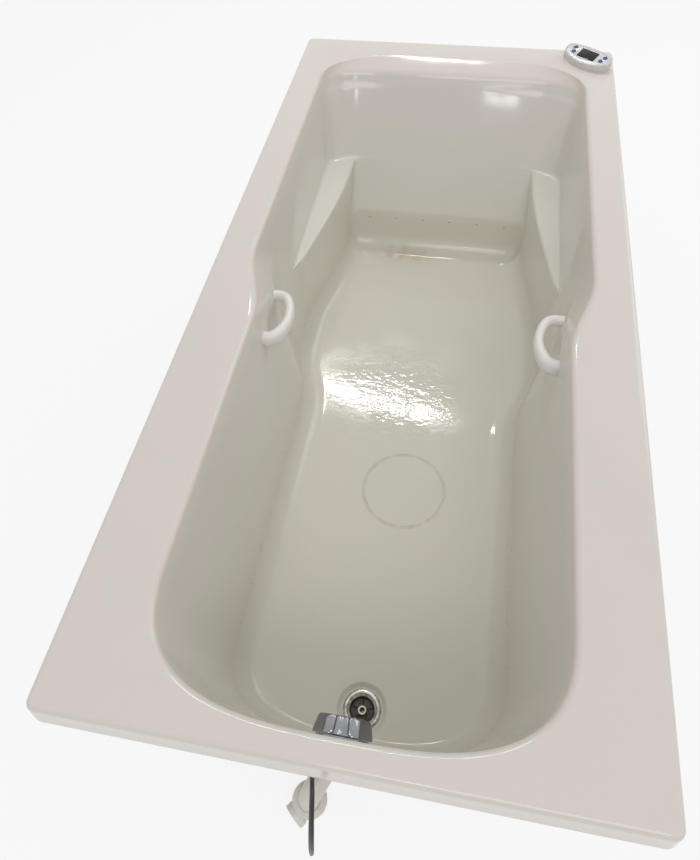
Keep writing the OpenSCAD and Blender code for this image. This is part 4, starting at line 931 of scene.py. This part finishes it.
def makeKnob():                               # turned cap with three flats and three groups of flutes
    k, segments, points = knob, knob["segments"], []
    r0, top = k["radius"], k["length"]
    profile = [(-8.0, 14.0), (-8.0, 1.2), (-0.6, 0.0), (0.0, 0.5), (0.0, 3.0), (-1.2, 9.0), (-2.6, 15.0),
               (-4.0, 20.0), (-5.0, top - 1), (-6.4, top), (-12.0, top), (-13.0, top - 0.6),
               (-13.4, top - 1.2), (-22.0, top - 1.4), (-30.0, top - 1.4)]
    place = atPlace(overflowAt, overflowOut) @ Matrix.Translation((0, 0, overflow["plate"] + k["gap"]))
    for dr, z in profile:
        for i in range(segments):
            a = 360*i/segments
            r = r0 + dr
            if dr > -10 and z > -1:
                for flat in k["flats"]:
                    off = abs((a - flat + 180) % 360 - 180)
                    if off < k["flatReach"]: r = min(r, (r0 - k["flatDepth"] - k["flatLean"]*z)/cosD(off))
                for group in k["fluteGroups"]:
                    for b in k["fluteTurns"]:
                        off = abs((a - group - b + 180) % 360 - 180)
                        r -= k["fluteDepth"]*math.exp(-(off/k["fluteWidth"])**2)*clamp01(z/k["fluteStart"])
            points.append(place @ Vector((r*cosD(a), r*sinD(a), z)))
    m = len(profile)
    piece = meshPiece("overflowKnob", points, ringFaces(segments, m) + endFaces(segments, m))
    faceOut(piece)
    smoothUpTo(piece, 38)
    return piece


finished(makeKnob(), "waste_knob", "knob_chrome", finishes["knob_chrome"], "overflow_knob")


easing = {"weld": 0.000004, "flatWithin": 1.0, "bevelFrom": 38, "segments": 2, "smoothTo": 36}


def easedCopy(node, width):
    source = cadNodes[node]
    piece = source.copy()
    piece.data = source.data.copy()
    piece.parent = None
    for key in list(piece.keys()): del piece[key]
    words = node.split("_")
    piece.name = words[0] + ("".join(w.capitalize() for w in words[1:]) or "Casing")
    piece.data.name = piece.name
    bpy.context.scene.collection.objects.link(piece)
    bm = bmesh.new()
    bm.from_mesh(piece.data)
    bmesh.ops.remove_doubles(bm, verts=bm.verts, dist=easing["weld"])
    bmesh.ops.dissolve_limit(bm, angle_limit=math.radians(easing["flatWithin"]), verts=bm.verts,
                             edges=bm.edges)
    bm.to_mesh(piece.data)
    bm.free()
    m = piece.modifiers.new("edges", 'BEVEL')
    m.width, m.segments = width*mm, easing["segments"]
    m.limit_method, m.angle_limit = 'ANGLE', math.radians(easing["bevelFrom"])
    m.use_clamp_overlap = True
    m.miter_outer = 'MITER_ARC'
    applyAll(piece)
    smoothUpTo(piece, easing["smoothTo"])
    return piece


# bright rim that the strainer's hub shows round the lifter
hub = {"bore": 4.8, "radius": 7.9, "crown": (5.6, 7.0), "below": 10, "sunk": 0.5, "edge": 0.3, "high": 0.8}
hubTop = drainAt[2] - (drain["dishDepth"] - drain["flangeRise"]) - hub["below"]
foot, edge, crown = hubTop - hub["sunk"], hubTop + hub["edge"], hubTop + hub["high"]
hubProfile = [(hub["bore"], foot), (hub["radius"], foot), (hub["radius"], edge), (hub["crown"][1], crown),
              (hub["crown"][0], crown), (hub["bore"], edge), (hub["bore"], foot)]
hubRim = lathePiece("strainerHubRim", hubProfile, 48, overDrain)
smoothUpTo(hubRim, 40)
finished(hubRim, "bath", "lifter_brass", finishes["lifter_brass"])

bodyOf = {n: b for b, members in frame["record"]["behaviour"]["bodies"].items() for n in members}
slotOf = {row["node"]: row["material_slot"] for row in frame["record"]["subparts"]}

# edge radius in mm, and the nodes that get it
easedBy = {0.18: "keypad_face", 0.25: "drain_flange", 0.3: "handle_bolts keypad_screen",
           0.35: "drain_strainer", 0.4: "overflow_plate blower_tray", 0.5: "plug_lifter",
           0.6: "base_board foot_nuts", 0.7: "trap_union_nut",
           0.8: "waste_body trap_cup trap_outlet overflow_body air_tee keypad_nut",
           1.0: "upright_foot_left upright_foot_right upright_head_left upright_head_right "
                "foot_pad_1 foot_pad_2 foot_pad_3 foot_pad_4 foot_pad_5 foot_pad_6",
           1.2: "frame_rail_left frame_rail_right frame_cross_foot frame_cross_middle "
                "frame_cross_head blower",
           1.3: "keypad_housing", 1.5: "rim_batten_left rim_batten_right", 2.0: "control_box"}
eased = {node: width for width, names in easedBy.items() for node in names.split()}
print("slots from the record:", len(slotOf))
for node, source in cadNodes.items():
    if node not in slotOf: continue
    finish = finishes[slotOf[node]]
    if node in eased:
        finished(easedCopy(node, eased[node]), bodyOf[node], slotOf[node], finish, node)
    else:
        source.data.materials.clear()
        source.data.materials.append(finish)
print("edges eased")


def axesAt(side, up, back, at):
    return Matrix([[side[i], up[i], back[i], at[i]] for i in range(3)] + [[0, 0, 0, 1]])


def areaLamp(name, at, target, size, power, colour=(1, 1, 1), along=(1, 0, 0)):
    lamp = bpy.data.lights.new(name, 'AREA')
    lamp.shape, lamp.size, lamp.size_y = 'RECTANGLE', size[0], size[1]
    lamp.energy, lamp.color = power, colour
    holder = bpy.data.objects.new(name, lamp)
    bpy.context.scene.collection.objects.link(holder)
    back = (Vector(at) - Vector(target)).normalized()
    side = Vector(along)
    side = (side - back*side.dot(back)).normalized()
    holder.matrix_world = axesAt(side, back.cross(side), back, at)


def backgroundRays(tree):                     # rays that look at the background itself
    info = addNode(tree, "ShaderNodeLightPath")
    direct = addNode(tree, "ShaderNodeMath", operation='MAXIMUM')
    tree.links.new(info.outputs["Is Camera Ray"], direct.inputs[0])
    tree.links.new(info.outputs["Is Glossy Ray"], direct.inputs[1])
    every = addNode(tree, "ShaderNodeMath", operation='MAXIMUM')
    tree.links.new(direct.outputs[0], every.inputs[0])
    tree.links.new(info.outputs["Is Transmission Ray"], every.inputs[1])
    return every.outputs[0]


deselectAll()
bpy.ops.mesh.primitive_plane_add(size=14, location=(0, 0, 0))
ground = bpy.context.object
ground.name = "ground"
groundMat, tree, shader = newMaterial("ground", (0.88, 0.88, 0.88), 0.9, spec=0.2)
glow = addNode(tree, "ShaderNodeEmission", Color=(1, 1, 1, 1), Strength=1.0)
share = addNode(tree, "ShaderNodeMath", operation='MULTIPLY')
share.inputs[1].default_value = 0.83
mixed = addNode(tree, "ShaderNodeMixShader")
tree.links.new(backgroundRays(tree), share.inputs[0])
tree.links.new(share.outputs[0], mixed.inputs["Fac"])
tree.links.new(shader.outputs[0], mixed.inputs[1])
tree.links.new(glow.outputs[0], mixed.inputs[2])
tree.links.new(mixed.outputs[0], tree.nodes["Material Output"].inputs["Surface"])
ground.data.materials.append(groundMat)

world = bpy.data.worlds.new("room")
bpy.context.scene.world = world
world.use_nodes = True
tree = world.node_tree
room = tree.nodes["Background"]
room.inputs["Color"].default_value = (0.96, 0.97, 1.0, 1)
room.inputs["Strength"].default_value = 0.54
white = addNode(tree, "ShaderNodeBackground", Color=(1, 1, 1, 1), Strength=1.0)
chooser = addNode(tree, "ShaderNodeMixShader")
tree.links.new(backgroundRays(tree), chooser.inputs["Fac"])
tree.links.new(room.outputs[0], chooser.inputs[1])
tree.links.new(white.outputs[0], chooser.inputs[2])
tree.links.new(chooser.outputs[0], tree.nodes["World Output"].inputs["Surface"])

areaLamp("ceilingStrip", besideMiddle((-0.295, 1.72, 2.6)), (0, 0.2, 0.15), (0.70, 0.085), 11,
         (1.0, 0.985, 0.96), (0.93, -0.22, 0))
areaLamp("softBehind", (0.8, -3.2, 4.3), (0, 0.3, 0.3), (2.6, 2.0), 47, (1.0, 0.97, 0.93))
areaLamp("softRight", (2.6, 2.4, 2.6), (0, -0.4, 0.3), (2.4, 2.0), 22, (0.95, 0.98, 1.0))
areaLamp("downlight", besideMiddle((0.16, -2.0, 2.18)), (0.1, 0.7, 0.5), (0.12, 0.10), 0.45)

# place in mm in the bath's own frame, then the camera's axes
view = {"at": (71.31, -894.47, 1425.23), "right": (0.98386, 0.17430, -0.04048),
        "up": (-0.12259, 0.82134, 0.55712), "back": (0.13035, -0.54316, 0.82945),
        "lens": 26.18, "shift": (-0.00598, -0.02326), "sensor": 36, "nearest": 0.02}
camera = bpy.data.cameras.new("camera")
cameraHolder = bpy.data.objects.new("camera", camera)
bpy.context.scene.collection.objects.link(cameraHolder)
at = besideMiddle([c*mm for c in view["at"]])
cameraHolder.matrix_world = axesAt(view["right"], view["up"], view["back"], at)
camera.sensor_fit, camera.sensor_height, camera.sensor_width = 'VERTICAL', view["sensor"], view["sensor"]
camera.lens, camera.shift_x, camera.shift_y = view["lens"], view["shift"][0], view["shift"][1]
camera.clip_start = view["nearest"]
bpy.context.scene.camera = cameraHolder
bpy.context.scene.view_settings.view_transform = 'Standard'
print("floor, light and camera set")
